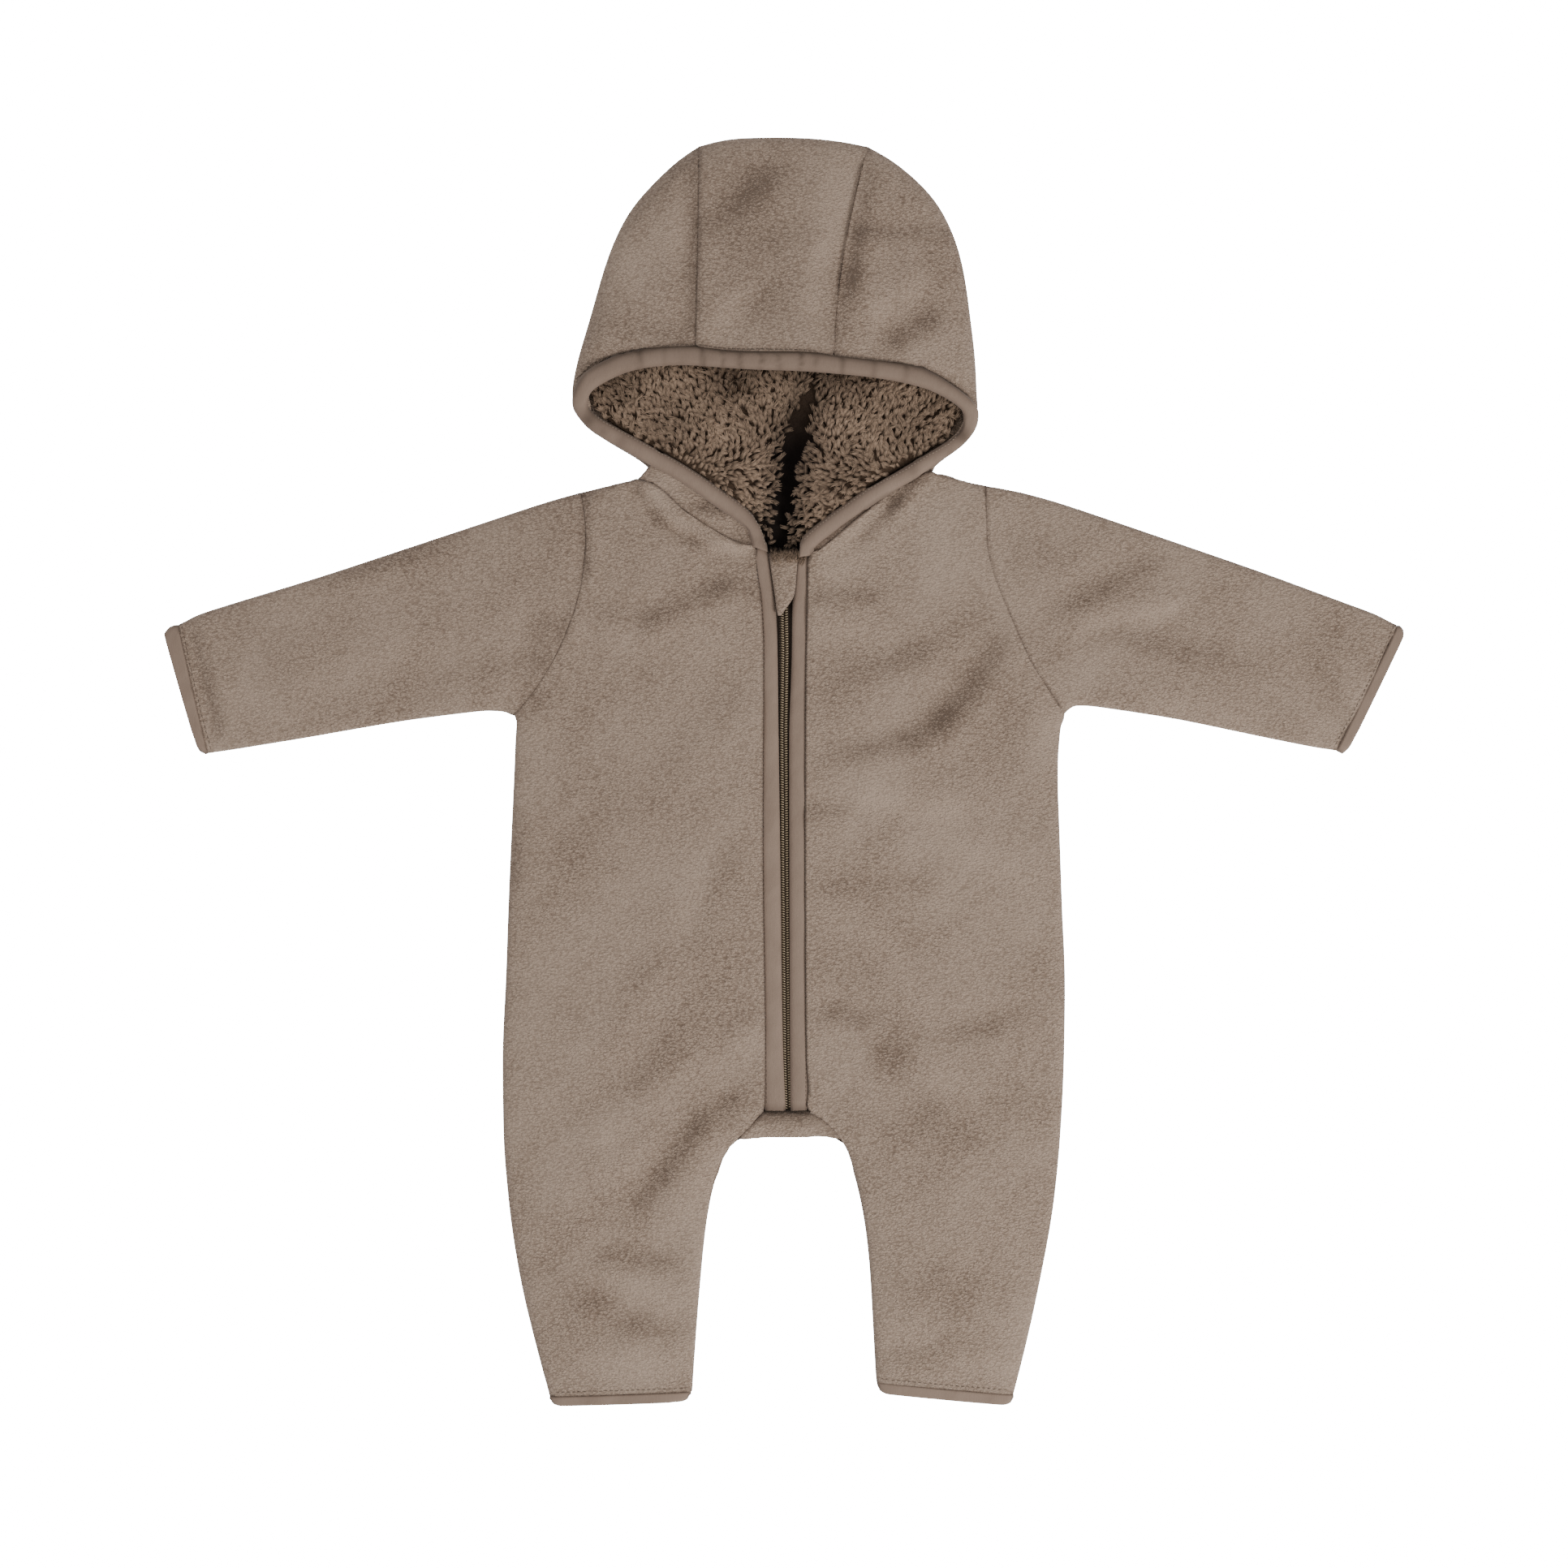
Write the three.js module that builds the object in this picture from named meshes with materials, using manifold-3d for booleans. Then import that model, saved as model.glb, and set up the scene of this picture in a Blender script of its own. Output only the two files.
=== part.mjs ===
// Baby's hooded fleece overall, zipped and laid flat on its back.
// Millimetres. X runs from sleeve to sleeve, Y from the hems up to the hood, Z up from the surface.
import * as THREE from 'three';
import Module from 'manifold-3d';

const { lerp, clamp, smoothstep } = THREE.MathUtils;

// Driving dimensions
const clear = 0.3;            // gap that parts two pieces at a seam
const bodyWall = 4;           // lofty fleece of fronts, back and sleeves
const hoodWall = 3.2;         // fleece of the hood
const seamEdge = 0.8;         // thickness left at a rolled seam edge
const frontSeat = bodyWall + clear;   // height at which a front lies on the back
const loftMost = 3.4;         // most air between front and back
const loftUsual = 1.9;        // usual air between front and back
const loftReach = 26;         // distance from a seam over which that air builds up
const rowStep = 14;           // distance between rows of a front
const rowShare = { back: 1.6, lining: 0.8, strip: 1.3, tape: 2.4 };   // same, elsewhere, as a share of it
const rollShare = 0.2;        // most of a width that one rolled edge may take
const rollInner = 0.25;       // place of the extra column inside a rolled edge
const tiltFrom = -280;        // height below which the rows of a leg turn to follow its hem
const halfCover = 0.6;        // overlap of the two halves of the back before they are joined
const pileUsual = 4.2;        // pile lining inside the hood
const pileHigh = 7.4;         // its wings beside the throat
const pileLeast = 0.9;        // and what is left of it at the bottom of the crease
const wingsFoot = 174;        // y between which the wings flatten out
const wingsHead = 196;
const creaseHalf = 8.5;       // half width of the dark crease down the middle of the lining
const creaseFoot = 146;       // y between which the crease wanders sideways
const creaseHead = 222;
const creaseTopX = 20.5;
const creaseFootX = 0.6;
const creaseWander = 1.3;     // how late the crease turns aside, above 1 is later
const creaseSquare = 2.4;     // how square its sides are
const creaseEnd = { foot: 238, head: 275 };   // y between which it fades out under the crown
const pileEdge = 0.14;        // share of the width over which the pile thins out towards its seams
const liningSink = { foot: 161, head: 180 };  // y between which the lining leaves the back for the hood
const foldMiddle = { low: 4.2, high: 6.4 };   // height of the hood's folded edge at the throat and the crown
const foldRadius = { low: 4.4, high: 8.5 };   // radius of that fold
const foldSteps = [1, 0.86, 0.72, 0.58, 0.44, 0.3, 0.15];   // places down the front of the hood
const foldCrowd = [1, 0.4, 0.1];              // places close to the fold
const brimLift = 7;           // rise of the hood's front above its folded edge
const brimReach = 30;         // distance from the fold over which that rise builds up
const brimSeat = 8.6;         // lowest underside of the hood's front
const brimStart = { left: 200, right: 188 };   // y at which the brim starts to rise on each side
const brimBuild = 36;         // distance over which it rises
const lowSeat = 5.1;          // underside of the hood's front along the lower rim
const bindingSeat = 8.6;      // lowest underside of the face binding
const bindingHigh = 4.4;      // thickness of the face binding
const stripSeat = 6.7;        // underside of the strips beside the zip
const stripWall = 3;
const bandArc = [0, 0.14, 0.5, 0.86, 1];      // places across a band
const bandEdge = 0.35;        // share of its thickness that a band keeps at its edges
const bandRoll = 0.3;         // share of its width over which it rounds off
const tapeSeat = 4.6;         // underside of the zip tape
const tapeWall = 1;
const tapeHalf = 9.4;
const tapeTopY = 112;
const coilTop = 6.4;          // top of the closed coil along the tape
const coilHalf = 2.4;
const coilFoot = 0.6;         // run-out on each side of the coil
const flapSeat = 10;          // underside of the chin flap
const flapWall = 2.6;
const bindingRows = 4;        // columns across a cuff or hem binding
const bindingSwell = 0.5;     // how much fuller it is than the cloth it closes

// Side seams and armholes, from the neck end of the shoulder down to the hem binding.
const outerSeam = [
  { y: 162, left: -83, right: 84 },
  { y: 158.4, left: -83, right: 94 },
  { y: 155.2, left: -95, right: 109.3 },
  { y: 151.2, left: -110.7, right: 109.3 },
  { y: 139, left: -107.8, right: 109.2 },
  { y: 129, left: -106.9, right: 109.1 },
  { y: 116, left: -107.8, right: 110.6 },
  { y: 97, left: -110.7, right: 117 },
  { y: 85, left: -114.2, right: 122 },
  { y: 70, left: -120, right: 128.4 },
  { y: 55, left: -127.6, right: 135.3 },
  { y: 43, left: -136, right: 144.5 },
  { y: 37, left: -141, right: 149.4 },
  { y: 32, left: -145.2, right: 150.6 },
  { y: 4.6, left: -146.3, right: 148.1 },
  { y: -35, left: -148.1, right: 149.4 },
  { y: -75, left: -149.8, right: 150.7 },
  { y: -114, left: -151.1, right: 152.3 },
  { y: -154, left: -152.9, right: 151.8 },
  { y: -193, left: -152.5, right: 150 },
  { y: -233, left: -149.6, right: 146.3 },
  { y: -273, left: -143.7, right: 139.3 },
  { y: -312, left: -134.6, right: 130.9 },
  { y: -345, left: -125.6, right: 122.4 },
];

// Inner edge of each front: neckline, zip strip, gusset, then the crotch edge and inside leg.
const innerEdge = [
  { y: 162, left: -79.6, right: 77.5 },
  { y: 158.2, left: -79.4, right: 71 },
  { y: 156.5, left: -70, right: 67.5 },
  { y: 148.2, left: -61.8, right: 52.3 },
  { y: 141, left: -55.5, right: 45.1 },
  { y: 135.4, left: -49.7, right: 38 },
  { y: 130.5, left: -41.7, right: 32.4 },
  { y: 126.4, left: -34.1, right: 27.8 },
  { y: 123, left: -26, right: 23.8 },
  { y: 121.6, left: -17.2, right: 22 },
  { y: 119.4, left: -17, right: 19.2 },
  { y: 116.6, left: -16.6, right: 13.4 },
  { y: 92, left: -13.3, right: 13.2 },
  { y: 66, left: -12.1, right: 12.6 },
  { y: 22, left: -12.3, right: 12.2 },
  { y: -48, left: -12.4, right: 12 },
  { y: -154, left: -11, right: 12.6 },
  { y: -184.2, left: -11.4, right: 16.8 },
  { y: -190, left: -16.9, right: 23 },
  { y: -197.4, left: -23.2, right: 29.8 },
  { y: -202.4, left: -29.3, right: 32 },
  { y: -206.6, left: -33.2, right: 34.5 },
  { y: -219.8, left: -38.1, right: 38.9 },
  { y: -246, left: -42.9, right: 44.2 },
  { y: -273, left: -45.5, right: 46.9 },
  { y: -299, left: -47.7, right: 48.2 },
  { y: -345, left: -50.8, right: 50.8 },
];

// Heights at which a row of a front or of the back has to lie, because an edge turns there.
const frontStops = [-206.6, -197.4, -184.2, 32, 116.6, 123, 141];
const backStops = [-206.6, -197.6];
const shoulderY = { left: 158, right: 161.4 };   // highest point of each front
const armpitY = 32;
const yokeY = 129;                               // last level row of the back, below its shoulders
const yokeRow = 0.6;                             // place of the row between it and the nape

// The back has no seam between the legs above the crotch edge.
const crotchEdge = [
  { y: 162, left: halfCover, right: -halfCover },
  { y: -197.4, left: halfCover, right: -halfCover },
  { y: -198.2, left: -14, right: 13 },
  { y: -200.2, left: -24.2, right: 27 },
  { y: -202.4, left: -29.3, right: 32 },
  ...innerEdge.slice(innerEdge.findIndex((row) => row.y === -206.6)),
];

// Hem line of each leg above its binding: y at the inside leg and at the side seam.
const hemLine = {
  left: { inner: -336.6, outer: -339.2 },
  right: { inner: -331.4, outer: -338.2 },
};

// Sleeves from armhole to cuff: upper edge and under edge of each section.
const sleeves = {
  left: [
    { upX: -111.2, upY: 151.2, downX: -146, downY: 31.6 },
    { upX: -127.3, upY: 146.7, downX: -154, downY: 32.8 },
    { upX: -143.7, upY: 141.4, downX: -163.5, downY: 33.2 },
    { upX: -197.3, upY: 123.6, downX: -208, downY: 27.6 },
    { upX: -251, upY: 105.8, downX: -260, downY: 18.4 },
    { upX: -300, upY: 91, downX: -295.5, downY: 12.6 },
    { upX: -318.8, upY: 85, downX: -306, downY: 11 },
    { upX: -328.9, upY: 79.4, downX: -312.9, downY: 10.2 },
  ],
  right: [
    { upX: 109.8, upY: 155, downX: 151.2, downY: 34.8 },
    { upX: 129, upY: 151.4, downX: 158.5, downY: 36 },
    { upX: 150, upY: 145.6, downX: 168, downY: 35.6 },
    { upX: 202, upY: 127.9, downX: 212, downY: 29 },
    { upX: 258, upY: 108.6, downX: 262, downY: 18.4 },
    { upX: 304, upY: 91.6, downX: 286, downY: 13.6 },
    { upX: 321, upY: 85.4, downX: 294, downY: 12.3 },
    { upX: 332.6, upY: 79.2, downX: 299.7, downY: 11.7 },
  ],
};

// Bindings that close the sleeves and legs: first, fullest and last section of each.
const endBindings = {
  cuff_binding_left: [
    { upX: -329.3, upY: 79.4, downX: -313.3, downY: 10 },
    { upX: -333.4, upY: 79.3, downX: -315.6, downY: 8.9 },
    { upX: -336.6, upY: 75.4, downX: -318.4, downY: 12.4 },
  ],
  cuff_binding_right: [
    { upX: 333, upY: 79, downX: 300.1, downY: 11.4 },
    { upX: 335.6, upY: 78.8, downX: 303, downY: 9.6 },
    { upX: 336.6, upY: 75, downX: 306.3, downY: 12.4 },
  ],
  hem_binding_left: [
    { upX: -50.9, upY: -336.9, downX: -127.3, downY: -339.6 },
    { upX: -50.8, upY: -339.4, downX: -127.6, downY: -341.8 },
    { upX: -54.2, upY: -341.8, downX: -124.6, downY: -344 },
  ],
  hem_binding_right: [
    { upX: 50.4, upY: -331.7, downX: 124.5, downY: -338.6 },
    { upX: 50.4, upY: -334.4, downX: 124.5, downY: -341.2 },
    { upX: 53, upY: -337.3, downX: 121.6, downY: -343.7 },
  ],
};

// Largest folds: a line in plan, its half width and its height (a trough is negative).
const folds = [
  { x0: -80, y0: -238, x1: -31, y1: -176, half: 9, high: -2.4 },
  { x0: -99, y0: -227, x1: -43, y1: -179, half: 9, high: 1.6 },
  { x0: -104, y0: -268, x1: -54, y1: -266, half: 8, high: -1.3 },
  { x0: -120, y0: -276, x1: -66, y1: -302, half: 9, high: 1.3 },
  { x0: -92, y0: 88, x1: -36, y1: 106, half: 9, high: 1.4 },
  { x0: -75, y0: 3, x1: -18, y1: 34, half: 10, high: 1.3 },
  { x0: 28, y0: 8, x1: 68, y1: 14, half: 8, high: 1.5 },
  { x0: 68, y0: 14, x1: 116, y1: 66, half: 9, high: 1.6 },
  { x0: 20, y0: 93, x1: 55, y1: 104, half: 8, high: 1.2 },
  { x0: 46, y0: -27, x1: 78, y1: -48, half: 8, high: 1.1 },
  { x0: 30, y0: -205, x1: 82, y1: -188, half: 10, high: -1.5 },
  { x0: 58, y0: -272, x1: 118, y1: -296, half: 10, high: 1.2 },
  { x0: 160, y0: 80, x1: 214, y1: 86, half: 9, high: 1.5 },
  { x0: 168, y0: 97, x1: 196, y1: 111, half: 7, high: -1.3 },
  { x0: 224, y0: 66, x1: 264, y1: 62, half: 10, high: 1.1 },
  { x0: -190, y0: 58, x1: -120, y1: 43, half: 10, high: 1.5 },
  { x0: -262, y0: 62, x1: -214, y1: 78, half: 9, high: 1.1 },
];

// Folds in the front of the hood.
const hoodFolds = [
  { x0: -40, y0: 288, x1: -2, y1: 328, half: 11, high: -1.7 },
  { x0: -22, y0: 268, x1: 14, y1: 306, half: 10, high: 1.2 },
  { x0: 40, y0: 291, x1: 94, y1: 291, half: 9, high: -1.8 },
  { x0: 32, y0: 264, x1: 56, y1: 275, half: 8, high: -1.3 },
  { x0: 52, y0: 228, x1: 83, y1: 252, half: 9, high: -1.7 },
  { x0: -88, y0: 252, x1: -56, y1: 268, half: 10, high: 1.3 },
  { x0: -80, y0: 286, x1: -62, y1: 306, half: 8, high: -1.1 },
];

// Hood outline from the left side of the neck over the top to the right side.
const hoodPanels = {
  left: [
    { edgeY: 327, foldX: -47, foldY: 338.8, backY: 327 },
    { edgeY: 312, foldX: -59, foldY: 331, backY: 312 },
    { edgeY: 296, foldX: -73.3, foldY: 317, backY: 296 },
    { edgeY: 278, foldX: -85.5, foldY: 303, backY: 278 },
    { edgeY: 258, foldX: -95.3, foldY: 281.8, backY: 258 },
    { edgeY: 242, foldX: -101.5, foldY: 260.5, backY: 240 },
    { edgeY: 230, foldX: -106.3, foldY: 243, backY: 228 },
    { edgeX: -66, edgeY: 229.6, foldX: -110.7, foldY: 229, backY: 216 },
    { edgeX: -87, edgeY: 226.4, foldX: -113.2, foldY: 219, backY: 208 },
    { edgeX: -100, edgeY: 222, foldX: -114.8, foldY: 211, backY: 200 },
    { edgeX: -107, edgeY: 211, foldX: -115.5, foldY: 203.5, backY: 192 },
    { edgeX: -106.5, edgeY: 198, foldX: -114, foldY: 196, backY: 184 },
    { edgeX: -98.4, edgeY: 189.4, foldX: -105, foldY: 184.6, backY: 176 },
    { edgeX: -84.4, edgeY: 181.6, foldX: -90.6, foldY: 176, backY: 168 },
    { edgeX: -70.6, edgeY: 173.4, foldX: -76.4, foldY: 168, backY: 160.5 },
    { edgeX: -66, edgeY: 167, foldX: -72.6, foldY: 163.4, backY: 155 },
  ],
  right: [
    { edgeY: 327, foldX: 46.4, foldY: 338.4, backY: 327 },
    { edgeY: 312, foldX: 60, foldY: 331, backY: 312 },
    { edgeY: 296, foldX: 76.3, foldY: 317, backY: 296 },
    { edgeY: 278, foldX: 87, foldY: 303, backY: 278 },
    { edgeY: 258, foldX: 95.7, foldY: 281.8, backY: 258 },
    { edgeY: 240, foldX: 99.3, foldY: 260.5, backY: 240 },
    { edgeX: 28.6, edgeY: 224.6, foldX: 101.4, foldY: 243, backY: 228 },
    { edgeX: 46, edgeY: 222.6, foldX: 103.2, foldY: 229, backY: 216 },
    { edgeX: 64, edgeY: 221.2, foldX: 103.9, foldY: 219, backY: 208 },
    { edgeX: 78, edgeY: 217, foldX: 104.3, foldY: 211, backY: 200 },
    { edgeX: 91, edgeY: 209.6, foldX: 104.5, foldY: 203.5, backY: 192 },
    { edgeX: 99, edgeY: 202.6, foldX: 105.2, foldY: 197, backY: 184 },
    { edgeX: 98, edgeY: 188.6, foldX: 104, foldY: 186, backY: 176 },
    { edgeX: 91.6, edgeY: 180.8, foldX: 96.4, foldY: 176.6, backY: 168 },
    { edgeX: 79.4, edgeY: 172.4, foldX: 84, foldY: 168, backY: 160.5 },
    { edgeX: 74, edgeY: 167.4, foldX: 79.6, foldY: 163.6, backY: 155 },
  ],
  centre: [
    { edgeX: -34, edgeY: 227.4, foldX: -36, foldY: 342.2 },
    { edgeX: -20, edgeY: 226.8, foldX: -24, foldY: 343.8 },
    { edgeX: -6, edgeY: 226.8, foldX: -8, foldY: 344 },
    { edgeX: 8, edgeY: 226.8, foldX: 10, foldY: 344 },
    { edgeX: 18, edgeY: 226.2, foldX: 30, foldY: 342.2 },
  ],
};
// Seams of the hood's centre panel in front, from the top edge to the face binding.
const frontSeams = {
  left: { topX: -46, topY: 339.2, rimX: -47.6, rimY: 229.9, bow: 0.5 },
  right: { topX: 45, topY: 339, rimX: 25.6, rimY: 225.2, bow: -3 },
};
const backSeamTop = 46;                  // half width of the hood's centre panel behind, at the top
const backSeamFoot = 44;                 // and at the nape
const hoodTopY = 339;
const napeY = 152.4;                     // nape seam at the centre back
const napeRise = 6.2;                    // its rise towards the shoulders
const napeHalf = 78;

// Lower front edge of the hood, between the binding and the neckline seam.
const hoodFoot = {
  left: [
    { upX: -73, upY: 165.2, downX: -79, downY: 158.9 },
    { upX: -69, upY: 168.6, downX: -71, downY: 157.4 },
    { upX: -61, upY: 163.5, downX: -64, downY: 151.5 },
    { upX: -52, upY: 159.5, downX: -54, downY: 141.8 },
    { upX: -42.5, upY: 152.3, downX: -43.8, downY: 134 },
    { upX: -34.3, upY: 146.8, downX: -34.6, downY: 128.8 },
    { upX: -24.2, upY: 139.5, downX: -26.6, downY: 125.2 },
    { upX: -16, upY: 133, downX: -20, downY: 123 },
    { upX: -13.2, upY: 126, downX: -17.2, downY: 122.6 },
  ],
  right: [
    { upX: 74, upY: 171, downX: 78.6, downY: 163.4 },
    { upX: 63, upY: 161.6, downX: 67.4, downY: 157.4 },
    { upX: 49, upY: 152, downX: 52.2, downY: 149.2 },
    { upX: 40, upY: 145.6, downX: 44.6, downY: 141.9 },
    { upX: 31.5, upY: 139, downX: 34.4, downY: 133.6 },
    { upX: 21.5, upY: 131.4, downX: 23.2, downY: 124 },
    { upX: 14, upY: 124.6, downX: 18.4, downY: 120.2 },
    { upX: 11.2, upY: 120, downX: 13.8, downY: 118.4 },
  ],
};

// Pile lining inside the hood, from the top down to the throat.
const liningEdge = [
  { y: 331, left: -40, right: 38 },
  { y: 325, left: -50, right: 49 },
  { y: 315, left: -63, right: 65 },
  { y: 300, left: -78, right: 79 },
  { y: 265, left: -91, right: 89 },
  { y: 230, left: -101, right: 93 },
  { y: 216, left: -103.6, right: 94.6 },
  { y: 205, left: -105.2, right: 95.6 },
  { y: 197, left: -104.6, right: 95.6 },
  { y: 191, left: -98.2, right: 94.6 },
  { y: 183.4, left: -84.6, right: 91.8 },
  { y: 178, left: -75, right: 84.6 },
  { y: 171.5, left: -62.6, right: 74.4 },
  { y: 164, left: -49.8, right: 62.4 },
  { y: 154.6, left: -36.2, right: 45.4 },
  { y: 142, left: -18, right: 27.4 },
  { y: 133, left: -13, right: 15.6 },
  { y: 126, left: -9.8, right: 8.4 },
  { y: 118.6, left: -8, right: 7 },
];

// Face binding from the left throat, round the opening, to the right throat.
const faceBinding = [
  { outX: -17, outY: 121.8, inX: -8.8, inY: 119, lift: 0 },
  { outX: -19.4, outY: 130.9, inX: -11.4, inY: 129, lift: 0 },
  { outX: -26.5, outY: 136.4, inX: -18.9, inY: 141.5, lift: 0 },
  { outX: -44.7, outY: 149.1, inX: -38.5, inY: 155.5, lift: 0 },
  { outX: -56, outY: 157.2, inX: -52, inY: 164.6, lift: 0 },
  { outX: -71.9, outY: 165.7, inX: -66.7, inY: 173, lift: 0 },
  { outX: -90.9, outY: 176.2, inX: -85.8, inY: 183.4, lift: 0 },
  { outX: -105.8, outY: 185.2, inX: -99.5, inY: 191, lift: 0 },
  { outX: -113.6, outY: 194.4, inX: -106, inY: 196.6, lift: 0 },
  { outX: -114.6, outY: 204, inX: -106.4, inY: 202, lift: 1.6 },
  { outX: -107.6, outY: 216.6, inX: -102, inY: 208, lift: 3.1 },
  { outX: -87.5, outY: 225.7, inX: -84, inY: 216.6, lift: 4.3 },
  { outX: -64.3, outY: 229.2, inX: -64.5, inY: 219.5, lift: 5.1 },
  { outX: -48.2, outY: 229.5, inX: -49.1, inY: 219.5, lift: 6.2 },
  { outX: -31, outY: 226.8, inX: -33.7, inY: 218.2, lift: 6.7 },
  { outX: -10.3, outY: 226.4, inX: -13, inY: 217, lift: 6.8 },
  { outX: 12.8, outY: 226.2, inX: 8, inY: 216.4, lift: 6.8 },
  { outX: 28.3, outY: 224.2, inX: 28.3, inY: 214.9, lift: 6.5 },
  { outX: 52, outY: 221.6, inX: 51.3, inY: 212.6, lift: 5.4 },
  { outX: 74.6, outY: 218, inX: 72, inY: 208.5, lift: 4.8 },
  { outX: 90, outY: 209.4, inX: 85, inY: 203.5, lift: 3.7 },
  { outX: 102, outY: 200.4, inX: 95, inY: 197, lift: 2.3 },
  { outX: 105.2, outY: 193.6, inX: 97.4, inY: 191.6, lift: 0.9 },
  { outX: 103.4, outY: 185, inX: 95.6, inY: 184, lift: 0 },
  { outX: 96.1, outY: 176.2, inX: 89, inY: 179, lift: 0 },
  { outX: 83.4, outY: 167.4, inX: 76.6, inY: 171.5, lift: 0 },
  { outX: 68.6, outY: 157.6, inX: 62.4, inY: 163, lift: 0 },
  { outX: 50.4, outY: 147, inX: 45.1, inY: 153.7, lift: 0 },
  { outX: 34.5, outY: 135.4, inX: 29, inY: 142.2, lift: 0 },
  { outX: 23.4, outY: 127.2, inX: 17, inY: 133.4, lift: 0 },
  { outX: 16.4, outY: 121.4, inX: 9, inY: 125.6, lift: 0 },
  { outX: 13.4, outY: 117.2, inX: 7.7, inY: 116.2, lift: 0 },
];

// Zip strips: outer and inner edge of each, from the neck down to the gusset.
const zipStrips = [
  { y: 119, leftOut: -16.4, leftIn: -8.6, rightIn: 7.1, rightOut: 12.8 },
  { y: 92, leftOut: -12.9, leftIn: -4.9, rightIn: 4.4, rightOut: 12.8 },
  { y: 66, leftOut: -11.6, leftIn: -3.9, rightIn: 4.4, rightOut: 12.2 },
  { y: 22, leftOut: -11.9, leftIn: -3.4, rightIn: 2.8, rightOut: 11.8 },
  { y: -48, leftOut: -12, leftIn: -2.4, rightIn: 2.9, rightOut: 11.6 },
  { y: -154, leftOut: -10.6, leftIn: -0.9, rightIn: 3.3, rightOut: 12.2 },
  { y: -184, leftOut: -10.4, leftIn: 0.6, rightIn: 3.5, rightOut: 12.2 },
];
const zipFoot = -183.8;
const stripTop = { left: 118.6, right: 115.8 };
const flap = [
  { y: 118.2, left: -8.3, right: 7.2 },
  { y: 106, left: -6.6, right: 6.3 },
  { y: 95.6, left: -5, right: 5.3 },
  { y: 90, left: -4.4, right: 1.9 },
  { y: 84.6, left: -3.4, right: -2 },
];
const gusset = [
  { y: -184.6, left: -11.4, right: 16.8 },
  { y: -190.2, left: -16.6, right: 22.6 },
  { y: -195.2, left: -21, right: 27.4 },
  { y: -198.4, left: -14, right: 13 },
];
const slider = { x: 0.4, y: 103, width: 6.4, length: 9.6, taper: 0.6, seat: 6.7, high: 2.9 };

// Reads one named column of a table at any y, on a smooth line that never overshoots its rows.
function reading(table, key) {
  const rows = [...table].sort((a, b) => a.y - b.y);
  const slopes = rows.slice(1).map((row, i) => (row[key] - rows[i][key]) / (row.y - rows[i].y));
  const tangents = rows.map((row, i) => {
    const before = slopes[Math.max(i - 1, 0)];
    const after = slopes[Math.min(i, slopes.length - 1)];
    return before * after > 0 ? (2 * before * after) / (before + after) : 0;
  });
  return (y) => {
    const last = rows.length - 2;
    const found = rows.findIndex((row, i) => i > 0 && y <= row.y) - 1;
    const i = found < 0 ? (y <= rows[0].y ? 0 : last) : found;
    const span = rows[i + 1].y - rows[i].y;
    const t = clamp((y - rows[i].y) / span, 0, 1);
    const start = (1 + 2 * t) * (1 - t) ** 2 * rows[i][key] + t * t * (3 - 2 * t) * rows[i + 1][key];
    return start + span * (t * (1 - t) ** 2 * tangents[i] + t * t * (t - 1) * tangents[i + 1]);
  };
}

// A round quarter: 0 at the edge, 1 from the given radius inwards.
function rolled(distance, radius) {
  const t = clamp(distance / radius, 0, 1);
  return Math.sqrt(1 - (1 - t) ** 2);
}

function toSegment(x, y, a, b) {
  const dx = b[0] - a[0];
  const dy = b[1] - a[1];
  const t = clamp(((x - a[0]) * dx + (y - a[1]) * dy) / (dx * dx + dy * dy), 0, 1);
  return Math.hypot(x - a[0] - t * dx, y - a[1] - t * dy);
}

// Edges at which the top and bottom layers of the body and sleeves meet.
const outline = [];
for (const side of ['left', 'right']) {
  const sleeve = sleeves[side];
  const shoulder = outerSeam.filter((row) => row.y > sleeve[0].upY);
  const sideSeam = outerSeam.filter((row) => row.y < sleeve[0].downY);
  const insideLeg = crotchEdge.slice(1);
  outline.push([...shoulder.map((row) => [row[side], row.y]), ...sleeve.map((row) => [row.upX, row.upY])]);
  outline.push([...sleeve.map((row) => [row.downX, row.downY]).reverse(),
    ...sideSeam.map((row) => [row[side], row.y])]);
  outline.push(insideLeg.map((row) => [row[side], row.y]));
}

function edgeDistance(x, y) {
  let nearest = Infinity;
  for (const line of outline) {
    for (let i = 1; i < line.length; i += 1) {
      nearest = Math.min(nearest, toSegment(x, y, line[i - 1], line[i]));
    }
  }
  return nearest;
}

// Rise of a table of folds at a point.
function foldRise(table, x, y) {
  let rise = 0;
  for (const fold of table) {
    const dx = fold.x1 - fold.x0;
    const dy = fold.y1 - fold.y0;
    const along = ((x - fold.x0) * dx + (y - fold.y0) * dy) / (dx * dx + dy * dy);
    const aside = toSegment(x, y, [fold.x0, fold.y0], [fold.x1, fold.y1]);
    const taper = 1 - Math.min(1, Math.abs(along - 0.5)) ** 2;
    rise += fold.high * taper * Math.exp(-((aside / fold.half) ** 2));
  }
  return rise;
}

// Air between the two layers of cloth: it builds up away from the seams and follows the folds.
function loft(x, y) {
  const distance = edgeDistance(x, y);
  const air = loftUsual * (1 - Math.exp(-distance / loftReach)) + foldRise(folds, x, y);
  return clamp(air, 0, loftMost) * smoothstep(distance, 0, loftReach / 2);
}

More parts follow.
